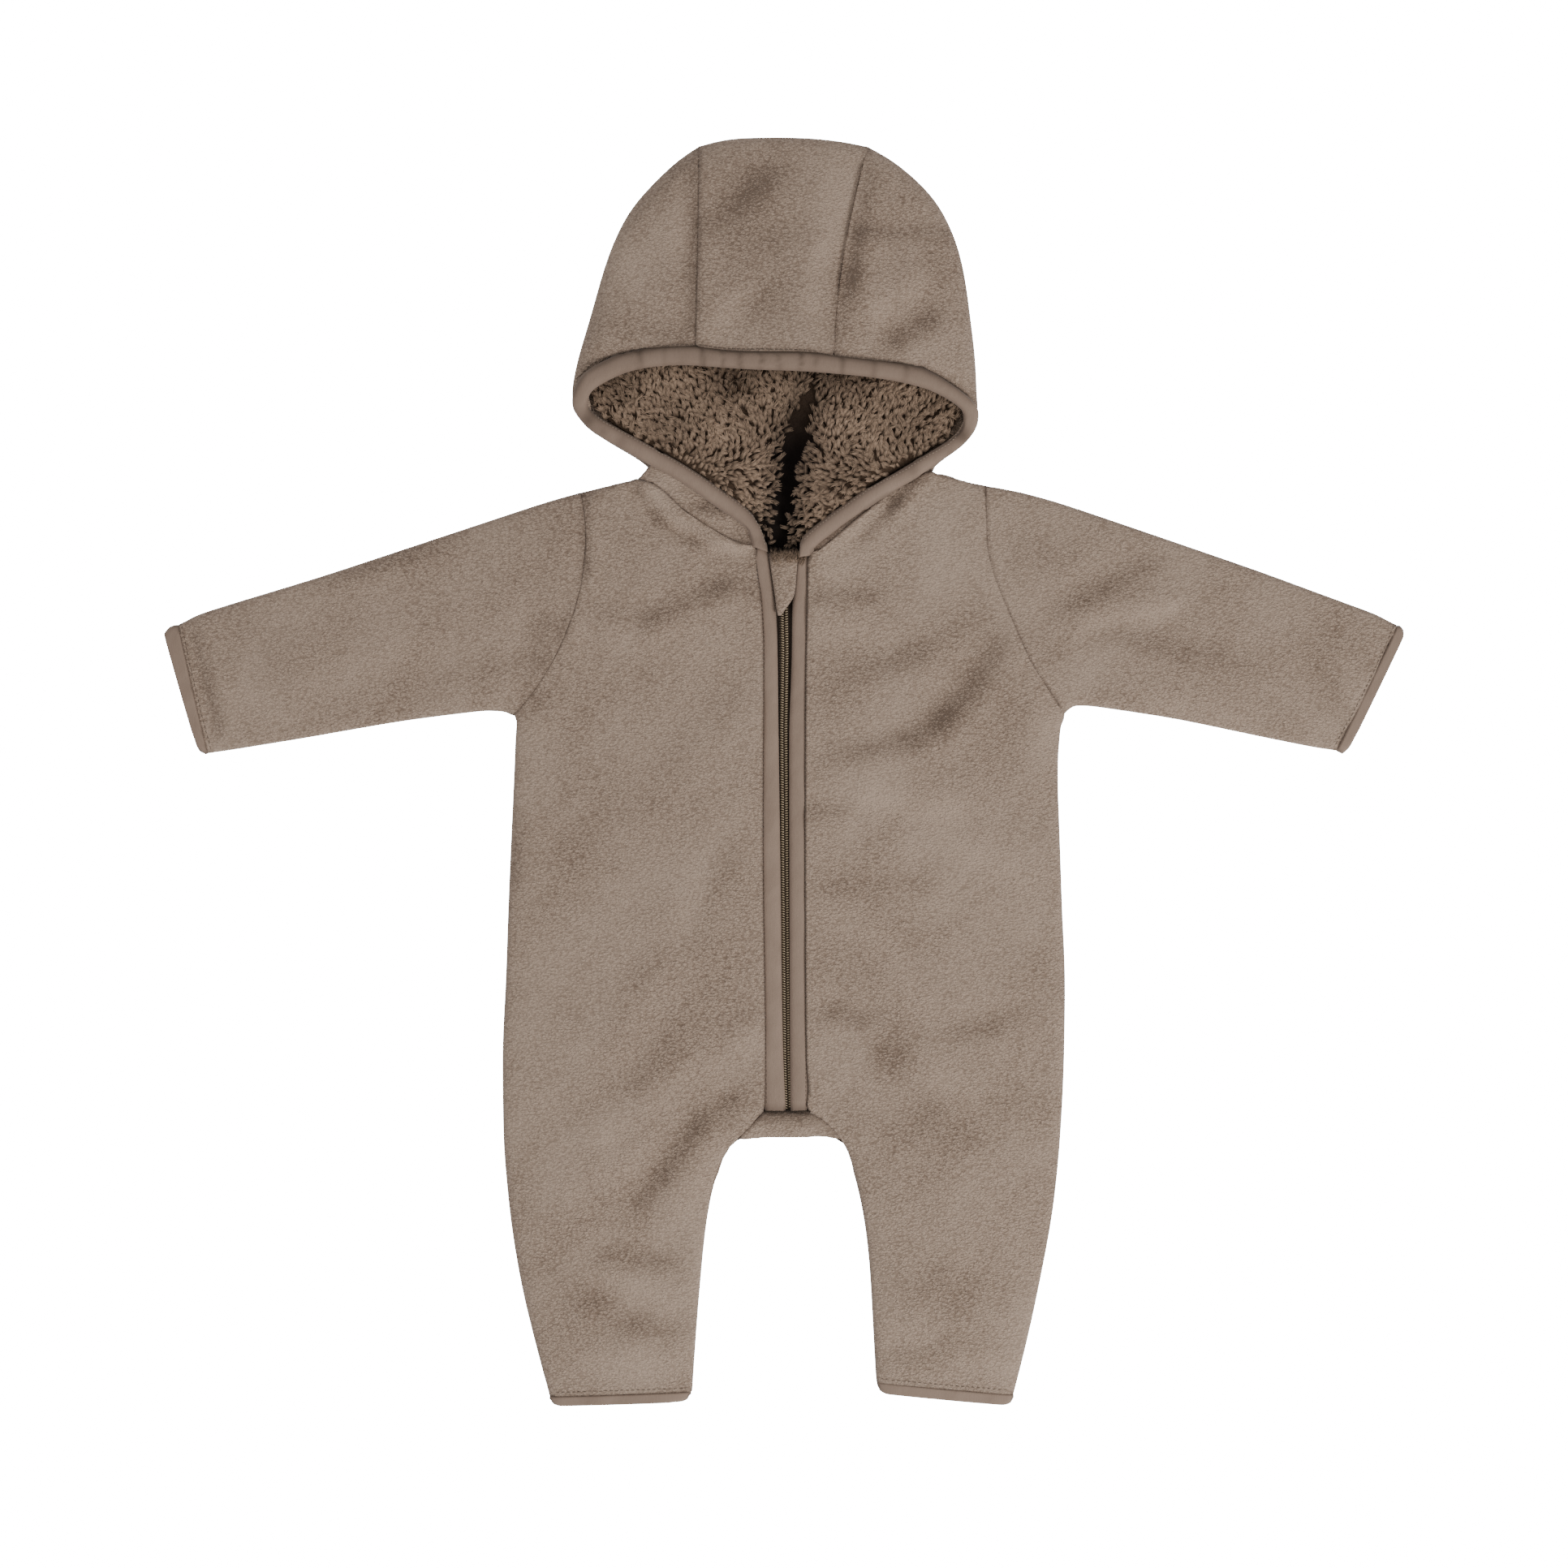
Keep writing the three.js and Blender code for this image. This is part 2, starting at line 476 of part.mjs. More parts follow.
// Closes two matching grids of points, the outer and inner face of a piece of cloth, into one solid.
function shell(outer, inner, ring = false) {
  const rows = outer.length;
  const cols = outer[0].length;
  const points = [...outer, ...inner].flat();
  const index = [];
  const at = (face, i, j) => (face * rows + i) * cols + (j % cols);
  const quad = (a, b, c, d) => {
    const gapTo = (p, q) => Math.hypot(...points[p].map((value, k) => value - points[q][k]));
    if (gapTo(a, c) <= gapTo(b, d)) index.push(a, b, c, a, c, d);
    else index.push(a, b, d, b, c, d);
  };
  const lastCol = ring ? cols : cols - 1;
  for (let j = 0; j < lastCol; j += 1) {
    for (let i = 0; i < rows - 1; i += 1) {
      quad(at(0, i, j), at(0, i, j + 1), at(0, i + 1, j + 1), at(0, i + 1, j));
      quad(at(1, i, j), at(1, i + 1, j), at(1, i + 1, j + 1), at(1, i, j + 1));
    }
    quad(at(0, 0, j), at(1, 0, j), at(1, 0, j + 1), at(0, 0, j + 1));
    quad(at(0, rows - 1, j), at(0, rows - 1, j + 1), at(1, rows - 1, j + 1), at(1, rows - 1, j));
  }
  for (let i = 0; i < rows - 1 && !ring; i += 1) {
    quad(at(0, i, 0), at(0, i + 1, 0), at(1, i + 1, 0), at(1, i, 0));
    quad(at(0, i, cols - 1), at(1, i, cols - 1), at(1, i + 1, cols - 1), at(0, i + 1, cols - 1));
  }
  return solid(points.flat(), index);
}

// Makes a geometry whose faces look outwards.
function solid(position, index) {
  const corner = (k) => new THREE.Vector3().fromArray(position, index[k] * 3);
  let volume = 0;
  for (let k = 0; k < index.length; k += 3) volume += corner(k).dot(corner(k + 1).cross(corner(k + 2)));
  const faces = volume > 0 ? index : [...index].reverse();
  const geometry = new THREE.BufferGeometry();
  geometry.setAttribute('position', new THREE.Float32BufferAttribute(position, 3));
  geometry.setIndex(faces);
  geometry.computeVertexNormals();
  return geometry;
}

const wasm = await Module();
wasm.setup();

function manifoldOf(geometry) {
  return new wasm.Manifold(new wasm.Mesh({
    numProp: 3,
    vertProperties: new Float32Array(geometry.getAttribute('position').array),
    triVerts: new Uint32Array(geometry.getIndex().array),
  }));
}

function joined(first, second) {
  const mesh = manifoldOf(first).add(manifoldOf(second)).getMesh();
  return solid([...mesh.vertProperties], [...mesh.triVerts]);
}

// Heights of the rows of a panel: every stop is kept and long stretches are divided evenly.
function rowsBetween(stops, step) {
  const rows = [stops[0]];
  for (let i = 1; i < stops.length; i += 1) {
    const parts = Math.max(1, Math.round(Math.abs(stops[i] - stops[i - 1]) / step));
    for (let k = 1; k <= parts; k += 1) rows.push(lerp(stops[i - 1], stops[i], k / parts));
  }
  return rows;
}

// Places across a width, crowded near both ends so that a rolled edge comes out round.
function across(width, inside) {
  const roll = Math.min(bodyWall, width * rollShare);
  const middle = Array.from({ length: inside }, (_, k) => lerp(roll, width - roll, (k + 1) / (inside + 1)));
  const inner = roll * rollInner;
  return [0, inner, roll, ...middle, width - roll, width - inner, width].map((d) => d / width);
}

// One front panel: rows from the hem to the shoulder, columns from the inner edge to the outer seam.
function frontPanel(side) {
  const inside = reading(innerEdge, side);
  const outside = reading(outerSeam, side);
  const hem = hemLine[side];
  const hemMiddle = (hem.inner + hem.outer) / 2;
  const armTop = sleeves[side][0].upY;
  const heights = rowsBetween([hemMiddle, ...frontStops, armTop, shoulderY[side]], rowStep);
  const outer = [];
  const inner = [];
  for (const height of heights) {
    const tilt = 1 - smoothstep(height, hemMiddle, tiltFrom);
    const places = across(Math.abs(outside(height) - inside(height)), 7);
    const row = places.map((w) => {
      const y = height + tilt * (lerp(hem.inner, hem.outer, w) - hemMiddle);
      const towards = side === 'left' ? -1 : 1;
      const from = inside(y) + towards * clear;
      const to = outside(y) - (y > sleeves[side][0].downY ? towards * clear : 0);
      return [lerp(from, to, w), y];
    });
    outer.push(row.map(([x, y]) => {
      const edge = Math.max(seamEdge, bodyWall * rolled(edgeDistance(x, y), bodyWall));
      return [x, y, frontSeat + loft(x, y) + edge];
    }));
    inner.push(row.map(([x, y]) => [x, y, frontSeat + loft(x, y)]));
  }
  return shell(outer, inner);
}

// Nape and shoulder line of the back.
function napeLine(x) {
  return napeY + napeRise * (x / napeHalf) ** 2;
}

function backHalf(side) {
  const inside = reading(crotchEdge, side);
  const outside = reading(outerSeam, side);
  const hem = hemLine[side];
  const hemMiddle = (hem.inner + hem.outer) / 2;
  const towards = side === 'left' ? -1 : 1;
  const armTop = sleeves[side][0].upY;
  const heights = rowsBetween([hemMiddle, ...backStops, armpitY], rowStep * rowShare.back);
  heights.push(...rowsBetween([armpitY, yokeY], rowStep).slice(1));
  const place = (height, w) => {
    const tilt = 1 - smoothstep(height, hemMiddle, tiltFrom);
    const y = height + tilt * (lerp(hem.inner, hem.outer, w) - hemMiddle);
    const to = outside(y) - (y > sleeves[side][0].downY ? towards * clear : 0);
    return [lerp(inside(y), to, w), y];
  };
  const plan = heights.map((height) => {
    const places = across(Math.abs(outside(height) - inside(height)), 2);
    return places.map((w) => place(height, w));
  });
  // The last rows rise to the nape in the middle and to the shoulder at the side.
  const shoulderX = Math.abs(reading(outerSeam, side)(armTop)) - clear;
  const yoke = plan[plan.length - 1];
  const yokeX = Math.max(...yoke.map(([x]) => Math.abs(x)));
  const top = yoke.map(([x]) => {
    const reach = Math.abs(x) * shoulderX / yokeX;
    const slope = clamp((reach - napeHalf) / (shoulderX - napeHalf), 0, 1);
    const y = lerp(napeLine(Math.min(reach, napeHalf)), armTop, slope);
    return [Math.abs(x) <= halfCover ? x : towards * reach, y];
  });
  plan.push(yoke.map(([x, y], j) => [lerp(x, top[j][0], yokeRow), lerp(y, top[j][1], yokeRow)]));
  plan.push(top);
  const outer = plan.map((row) => row.map(([x, y]) => {
    const edge = Math.max(seamEdge, bodyWall * rolled(edgeDistance(x, y), bodyWall));
    return [x, y, bodyWall - edge];
  }));
  const inner = plan.map((row) => row.map(([x, y]) => [x, y, bodyWall]));
  return shell(outer, inner);
}

// A flattened tube through sections, each given by its two edges in plan.
function flatTube(sections, { inside, bow = () => 0, swell = 0, stepRows = 1 }) {
  const outer = [];
  const inner = [];
  const count = (sections.length - 1) * stepRows;
  for (let i = 0; i <= count; i += 1) {
    const k = Math.min(Math.floor(i / stepRows), sections.length - 2);
    const t = i / stepRows - k;
    const mix = (key) => lerp(sections[k][key], sections[k + 1][key], t);
    const up = [mix('upX'), mix('upY')];
    const down = [mix('downX'), mix('downY')];
    const width = Math.hypot(down[0] - up[0], down[1] - up[1]);
    const fade = (1 - i / count) ** 2;
    const plan = (w) => [lerp(up[0], down[0], w) + fade * bow(w), lerp(up[1], down[1], w)];
    const places = across(width, inside);
    const inset = (bodyWall - clear) / width;
    const face = (w, over) => {
      const [x, y] = plan(w);
      const roll = rolled(Math.min(w, 1 - w) * width, bodyWall);
      const edge = Math.max(seamEdge, bodyWall * roll);
      return [x, y, over ? frontSeat + loft(x, y) + edge + swell * roll : bodyWall - edge];
    };
    const lining = (w, over) => {
      const [x, y] = plan(lerp(inset, 1 - inset, w));
      return [x, y, over ? frontSeat + loft(x, y) : bodyWall];
    };
    const back = [...places].reverse();
    outer.push([...places.map((w) => face(w, true)), ...back.map((w) => face(w, false))]);
    inner.push([...places.map((w) => lining(w, true)), ...back.map((w) => lining(w, false))]);
  }
  return shell(outer, inner, true);
}

function sleeve(side) {
  const sections = sleeves[side];
  const start = sections[0];
  const seam = reading(outerSeam, side);
  const towards = side === 'left' ? -1 : 1;
  const bow = (w) => {
    const y = lerp(start.upY, start.downY, w);
    return seam(y) + towards * clear * 2 - lerp(start.upX, start.downX, w);
  };
  return flatTube(sections, { inside: 7, bow, stepRows: 2 });
}

// Height of the hood's front above its low edge: full under the brim, low along the throat.
function brimShare(side, y) {
  return smoothstep(y, brimStart[side], brimStart[side] + brimBuild);
}

// A hood panel that runs from its front edge, round the folded edge of the hood, to its back edge.
function foldedPanel(rows) {
  const outer = [];
  const inner = [];
  for (const row of rows) {
    const share = row.share;
    const middle = lerp(foldMiddle.low, foldMiddle.high, share);
    const radius = lerp(foldRadius.low, foldRadius.high, share);
    const front = Math.hypot(row.foldX - row.edgeX, row.foldY - row.edgeY);
    const behind = Math.hypot(row.foldX - row.backX, row.foldY - row.backY);
    const legs = (faceIn) => {
      const pull = faceIn ? hoodWall : 0;
      const roll = radius - pull;
      const points = [];
      const leg = (length, endX, endY, over) => {
        const reach = length - pull;
        const crowd = Math.min(radius, reach * 0.6);
        const steps = over ? foldSteps : [1, 0.5];
        const places = [...steps.map((s) => lerp(crowd, reach, s)), ...foldCrowd.map((s) => crowd * s)];
        return places.map((d) => {
          const t = (d + pull) / length;
          const x = lerp(row.foldX, endX, t);
          const y = lerp(row.foldY, endY, t);
          const turn = rolled(d, roll);
          const bow = over ? row.bow * 4 * t * (1 - t) : 0;
          const brim = brimSeat + brimLift * (1 - Math.exp(-(d + pull) / brimReach));
          const rise = foldRise(hoodFolds, x + bow, y) * smoothstep(d, 0, brimReach / 2);
          const under = lerp(lowSeat, brim + rise, share);
          const high = faceIn ? under : under + hoodWall;
          const low = faceIn ? hoodWall : 0;
          return [x + bow, y, over ? lerp(middle, high, turn) : lerp(middle, low, turn)];
        });
      };
      const pulled = pull / front;
      points.push(...leg(front, row.edgeX, row.edgeY, true));
      points.push([lerp(row.foldX, row.edgeX, pulled), lerp(row.foldY, row.edgeY, pulled), middle]);
      points.push(...leg(behind, row.backX, row.backY, false).reverse());
      return points;
    };
    outer.push(legs(false));
    inner.push(legs(true));
  }
  return shell(outer, inner);
}

function backSeamX(y) {
  return lerp(backSeamFoot, backSeamTop, (y - napeY) / (hoodTopY - napeY));
}

// Front seam between the hood's centre and one side, at any y.
function frontSeamX(side, y) {
  const seam = frontSeams[side];
  const t = (seam.topY - y) / (seam.topY - seam.rimY);
  return lerp(seam.topX, seam.rimX, t) + seam.bow * 4 * t * (1 - t);
}

function hoodSide(side) {
  const towards = side === 'left' ? -1 : 1;
  const rows = hoodPanels[side].map((row) => ({
    edgeX: frontSeamX(side, row.edgeY) + towards * clear * 1.4,
    ...row,
    backX: towards * (backSeamX(row.backY) + clear * 1.4),
    share: brimShare(side, row.foldY),
    bow: 0,
  }));
  const panel = foldedPanel(rows);
  const foot = hoodFoot[side];
  const strip = (high) => foot.map((row) => [0, 0.5, 1].map((w) => [
    lerp(row.upX, row.downX, w), lerp(row.upY, row.downY, w), high,
  ]));
  return joined(panel, shell(strip(lowSeat + hoodWall), strip(lowSeat)));
}

function hoodCentre() {
  const seamRow = ({ topX, topY, rimX, rimY }) => ({ edgeX: rimX, edgeY: rimY, foldX: topX, foldY: topY });
  const places = [seamRow(frontSeams.left), ...hoodPanels.centre, seamRow(frontSeams.right)];
  const rows = places.map((row, i, all) => {
    const w = i / (all.length - 1);
    const backX = lerp(-backSeamFoot, backSeamFoot, w);
    return {
      ...row,
      backX,
      backY: napeLine(backX) + clear,
      share: 1,
      bow: lerp(frontSeams.left.bow, frontSeams.right.bow, w),
    };
  });
  return foldedPanel(rows);
}

// Thickness of the pile: two wings that fall to a deep crease, which wanders towards the top of the hood.
function pileDepth(x, y, share) {
  const wander = smoothstep(y, creaseFoot, creaseHead) ** creaseWander;
  const creaseX = lerp(creaseFootX, creaseTopX, wander);
  const crown = lerp(pileHigh, pileUsual, smoothstep(y, wingsFoot, wingsHead));
  const fall = Math.exp(-((Math.abs(x - creaseX) / creaseHalf) ** creaseSquare));
  const fade = 1 - smoothstep(y, creaseEnd.foot, creaseEnd.head);
  const edge = 0.5 + 0.5 * rolled(share, pileEdge);
  return lerp(crown * edge, pileLeast, fall * fade);
}

function hoodLining() {
  const left = reading(liningEdge, 'left');
  const right = reading(liningEdge, 'right');
  const heights = rowsBetween([118.6, 126, 152, 168, 205, 265, 315, liningEdge[0].y], rowStep * rowShare.lining);
  const outer = [];
  const inner = [];
  for (const y of heights) {
    const seat = lerp(frontSeat, hoodWall + clear, smoothstep(y, liningSink.foot, liningSink.head));
    const width = right(y) - left(y);
    const places = across(width, 13);
    outer.push(places.map((w) => {
      const x = lerp(left(y), right(y), w);
      const share = Math.min(w, 1 - w, (liningEdge[0].y + clear - y) / width);
      return [x, y, seat + pileDepth(x, y, share)];
    }));
    inner.push(places.map((w) => [lerp(left(y), right(y), w), y, seat]));
  }
  return shell(outer, inner);
}

// A band with a rounded back, from a table of its outer and inner edge.
function band(rows, high, seatOf) {
  const outer = [];
  const inner = [];
  rows.forEach((row, i) => {
    const seat = seatOf(row, i);
    const rise = (w) => high * (bandEdge + (1 - bandEdge) * rolled(Math.min(w, 1 - w), bandRoll));
    const place = (w) => [lerp(row.outX, row.inX, w), lerp(row.outY, row.inY, w)];
    outer.push(bandArc.map((w) => [...place(w), seat + rise(w)]));
    inner.push(bandArc.map((w) => [...place(w), seat]));
  });
  return shell(outer, inner);
}

// Doubles the rows of a band table along a smooth line.
function smoothed(rows, parts) {
  const keys = Object.keys(rows[0]);
  const result = [];
  for (let i = 0; i < rows.length - 1; i += 1) {
    const around = [-1, 0, 1, 2].map((k) => rows[clamp(i + k, 0, rows.length - 1)]);
    for (let k = 0; k < parts; k += 1) {
      const t = k / parts;
      const value = (key) => {
        const [p, a, b, n] = around.map((row) => row[key]);
        const bend = (2 * p - 5 * a + 4 * b - n) * t * t + (3 * a - p - 3 * b + n) * t ** 3;
        return a + 0.5 * ((b - p) * t + bend);
      };
      result.push(Object.fromEntries(keys.map((key) => [key, value(key)])));
    }
  }
  result.push(rows[rows.length - 1]);
  return result;
}

function zipStrip(side) {
  const outEdge = reading(zipStrips, `${side}Out`);
  const inEdge = reading(zipStrips, `${side}In`);
  const rows = rowsBetween([stripTop[side], 66, zipFoot], rowStep * rowShare.strip).map((y) => (
    { outX: outEdge(y), outY: y, inX: inEdge(y), inY: y }
  ));
  return band(rows, stripWall, () => stripSeat);
}

function zipMiddle(y) {
  return (reading(zipStrips, 'leftIn')(y) + reading(zipStrips, 'rightIn')(y)) / 2;
}

// Woven tape of the zip with the coil standing up along its middle.
function zipTape() {
  const profile = [
    { x: -tapeHalf, z: tapeSeat + tapeWall },
    { x: -coilHalf - coilFoot, z: tapeSeat + tapeWall },
    { x: -coilHalf, z: coilTop },
    { x: coilHalf, z: coilTop },
    { x: coilHalf + coilFoot, z: tapeSeat + tapeWall },
    { x: tapeHalf, z: tapeSeat + tapeWall },
  ];
  const heights = rowsBetween([tapeTopY, zipFoot], rowStep * rowShare.tape);
  const outer = heights.map((y) => profile.map((p) => [p.x + zipMiddle(y), y, p.z]));
  const inner = heights.map((y) => profile.map((p) => [p.x + zipMiddle(y), y, tapeSeat]));
  return shell(outer, inner);
}

function zipSlider() {
  const half = slider.width / 2;
  const nose = slider.length / 2;
  const plate = new THREE.Shape();
  plate.moveTo(-half, nose);
  plate.lineTo(-half * slider.taper, -nose);
  plate.lineTo(half * slider.taper, -nose);
  plate.lineTo(half, nose);
  plate.closePath();
  const geometry = new THREE.ExtrudeGeometry(plate, { depth: slider.high, bevelEnabled: false });
  geometry.translate(slider.x, slider.y, slider.seat);
  return geometry;
}

function chinFlap() {
  const rows = flap.map((row) => ({ outX: row.left, outY: row.y, inX: row.right, inY: row.y }));
  return band(smoothed(rows, 2), flapWall, () => flapSeat);
}

function crotchGusset() {
  const places = [0, 0.25, 0.5, 0.75, 1];
  const plan = gusset.map((row) => places.map((w) => [lerp(row.left, row.right, w), row.y]));
  const outer = plan.map((row) => row.map(([x, y]) => {
    const edge = Math.max(seamEdge, bodyWall * rolled(edgeDistance(x, y), bodyWall));
    return [x, y, frontSeat + edge];
  }));
  const inner = plan.map((row) => row.map(([x, y]) => [x, y, frontSeat]));
  return shell(outer, inner);
}

const colours = {
  fleece: { color: 0x9c8c7e, roughness: 0.95 },
  binding: { color: 0x98877a, roughness: 0.9 },
  pile: { color: 0x8f8072, roughness: 1 },
  tape: { color: 0x2a1c10, roughness: 0.8 },
  metal: { color: 0x9a8458, roughness: 0.4, metalness: 0.8 },
};

const overall = new THREE.Group();

function addPiece(name, geometry, colour) {
  const material = new THREE.MeshStandardMaterial(colours[colour]);
  const mesh = new THREE.Mesh(geometry, material);
  mesh.name = name;
  overall.add(mesh);
}

addPiece('back', joined(backHalf('left'), backHalf('right')), 'fleece');
for (const side of ['left', 'right']) {
  addPiece(`front_${side}`, frontPanel(side), 'fleece');
  addPiece(`sleeve_${side}`, sleeve(side), 'fleece');
  addPiece(`hood_side_${side}`, hoodSide(side), 'fleece');
  addPiece(`zip_strip_${side}`, zipStrip(side), 'binding');
}
addPiece('hood_centre', hoodCentre(), 'fleece');
addPiece('hood_lining', hoodLining(), 'pile');
addPiece('face_binding', band(smoothed(faceBinding, 2), bindingHigh, (row) => bindingSeat + row.lift), 'binding');
addPiece('zip_tape', zipTape(), 'tape');
addPiece('zip_slider', zipSlider(), 'metal');
addPiece('chin_flap', chinFlap(), 'fleece');
addPiece('crotch_gusset', crotchGusset(), 'fleece');
for (const [name, sections] of Object.entries(endBindings)) {
  addPiece(name, flatTube(sections, { inside: bindingRows, swell: bindingSwell }), 'binding');
}

export default overall;
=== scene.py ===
import math

import bmesh
import bpy
import numpy as np
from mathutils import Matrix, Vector
from mathutils.bvhtree import BVHTree


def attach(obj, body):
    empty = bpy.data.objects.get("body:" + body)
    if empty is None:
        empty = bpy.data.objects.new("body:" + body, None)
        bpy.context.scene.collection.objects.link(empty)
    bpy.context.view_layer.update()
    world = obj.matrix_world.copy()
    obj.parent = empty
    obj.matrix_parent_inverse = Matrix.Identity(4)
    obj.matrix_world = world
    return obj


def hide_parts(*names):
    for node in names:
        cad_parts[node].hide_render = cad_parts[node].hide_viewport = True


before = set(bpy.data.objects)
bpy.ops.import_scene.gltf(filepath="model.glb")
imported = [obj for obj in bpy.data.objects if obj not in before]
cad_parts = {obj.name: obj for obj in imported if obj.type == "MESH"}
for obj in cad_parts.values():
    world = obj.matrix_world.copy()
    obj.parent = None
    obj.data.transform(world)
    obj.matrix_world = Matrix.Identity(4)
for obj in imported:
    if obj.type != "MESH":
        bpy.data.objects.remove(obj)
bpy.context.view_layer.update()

mm = 0.001
scene = bpy.context.scene

# camera straight above the overall, metres: its place, the height of the cloth and the width seen there
cameraSetup = {"place": (-0.0002, -0.0068, 1.9), "clothHeight": 0.008, "viewWidth": 0.8501, "sensor": 36,
               "clip": (0.05, 20)}


def addObject(name, data, place=(0, 0, 0)):
    thing = bpy.data.objects.new(name, data)
    thing.location = place
    scene.collection.objects.link(thing)
    return thing


def addCamera():
    data = bpy.data.cameras.new("camera")
    data.sensor_width = cameraSetup["sensor"]
    reach = cameraSetup["place"][2] - cameraSetup["clothHeight"]
    data.lens = cameraSetup["sensor"] * reach / cameraSetup["viewWidth"]
    data.clip_start, data.clip_end = cameraSetup["clip"]
    scene.camera = addObject("camera", data, cameraSetup["place"])


addCamera()
print("camera ready")


# soft studio light and a pale floor
def addLight(name, place, size, watts, colour):
    data = bpy.data.lights.new(name, "AREA")
    data.shape = "DISK"
    data.size = size
    data.energy = watts
    data.color = colour
    light = addObject(name, data, place)
    light.rotation_euler = (-Vector(place)).to_track_quat("-Z", "Y").to_euler()


studioLights = {
    "key": {"place": (1.35, -1.35, 1.25), "size": 0.9, "watts": 34, "colour": (1, 0.985, 0.965)},
    "fill": {"place": (-1.4, 1.2, 1.9), "size": 1.6, "watts": 9.5, "colour": (0.97, 0.985, 1)},
}
sky = {"colour": (1, 1, 1, 1), "strength": 0.55}
for lightName, values in studioLights.items():
    addLight(lightName, **values)

world = bpy.data.worlds.new("studio")
world.use_nodes = True
background = world.node_tree.nodes["Background"]
background.inputs["Color"].default_value = sky["colour"]
background.inputs["Strength"].default_value = sky["strength"]
scene.world = world


# small helpers for shader nodes
def addNode(tree, kind, **settings):
    node = tree.nodes.new(kind)
    for key, value in settings.items():
        setattr(node, key, value)
    return node


def feed(tree, node, values):
    # each value is a constant or the output socket that feeds it
    for key, value in values.items():
        if isinstance(value, bpy.types.NodeSocket):
            tree.links.new(value, node.inputs[key])
        else:
            node.inputs[key].default_value = value
    return node


def mathNode(tree, operation, *values, clamp=False):
    node = addNode(tree, "ShaderNodeMath", operation=operation, use_clamp=clamp)
    return feed(tree, node, dict(enumerate(values))).outputs[0]


def addTo(tree, rest, value, share, clamp=False):
    return mathNode(tree, "MULTIPLY_ADD", value, share, rest, clamp=clamp)


def mixColour(tree, factor, first, second, blend="MIX"):
    node = addNode(tree, "ShaderNodeMix", data_type="RGBA", blend_type=blend)
    return feed(tree, node, {0: factor, 6: first, 7: second}).outputs[2]


def noiseNode(tree, place, scale, detail, roughness=0.5, distortion=0.0):
    node = addNode(tree, "ShaderNodeTexNoise")
    return feed(tree, node, {"Vector": place, "Scale": scale, "Detail": detail, "Roughness": roughness,
                             "Distortion": distortion})


# the floor lies a little under the cloth; its glow is for the camera alone
floorLook = {
    "place": (0, 0, -0.0004), "size": 3, "glow": 18.0,
    "shader": {"Base Color": (0.93, 0.93, 0.93, 1), "Roughness": 0.9, "Emission Color": (1, 1, 1, 1)},
}


def addFloor():
    grid = bmesh.new()
    bmesh.ops.create_grid(grid, x_segments=1, y_segments=1, size=floorLook["size"])
    data = bpy.data.meshes.new("floor")
    grid.to_mesh(data)
    grid.free()
    paint = bpy.data.materials.new("floor")
    paint.use_nodes = True
    tree = paint.node_tree
    # the camera sees a bright floor that throws no light back on the cloth
    seen = addNode(tree, "ShaderNodeLightPath").outputs["Is Camera Ray"]
    glow = mathNode(tree, "MULTIPLY", seen, floorLook["glow"])
    feed(tree, tree.nodes["Principled BSDF"], {"Emission Strength": glow, **floorLook["shader"]})
    data.materials.append(paint)
    floor = addObject("floor", data, floorLook["place"])


addFloor()
print("studio ready")


def newGroup(name, inputs, outputs):
    group = bpy.data.node_groups.new(name, "ShaderNodeTree")
    for label, kind, value in inputs:
        socket = group.interface.new_socket(label, in_out="INPUT", socket_type=kind)
        if value is not None:
            socket.default_value = value
    for label, kind in outputs:
        group.interface.new_socket(label, in_out="OUTPUT", socket_type=kind)
    start = addNode(group, "NodeGroupInput")
    end = addNode(group, "NodeGroupOutput")
    return group, start, end


# brushed knit: how much finer than the tufts its fibres and tips are, how far the cells of the tips bend,
# how high and blunt the tips are, and how much each adds to the height
tuftShape = {"fibres": 3.1, "tips": 1.4, "bend": (0.0020, 0.0020, 0.0020), "tipHigh": 1.1, "tipBlunt": 1.8,
             "fibreShare": 0.30, "tuftShare": 0.20, "tipShare": 0.48, "lowest": 0.04}


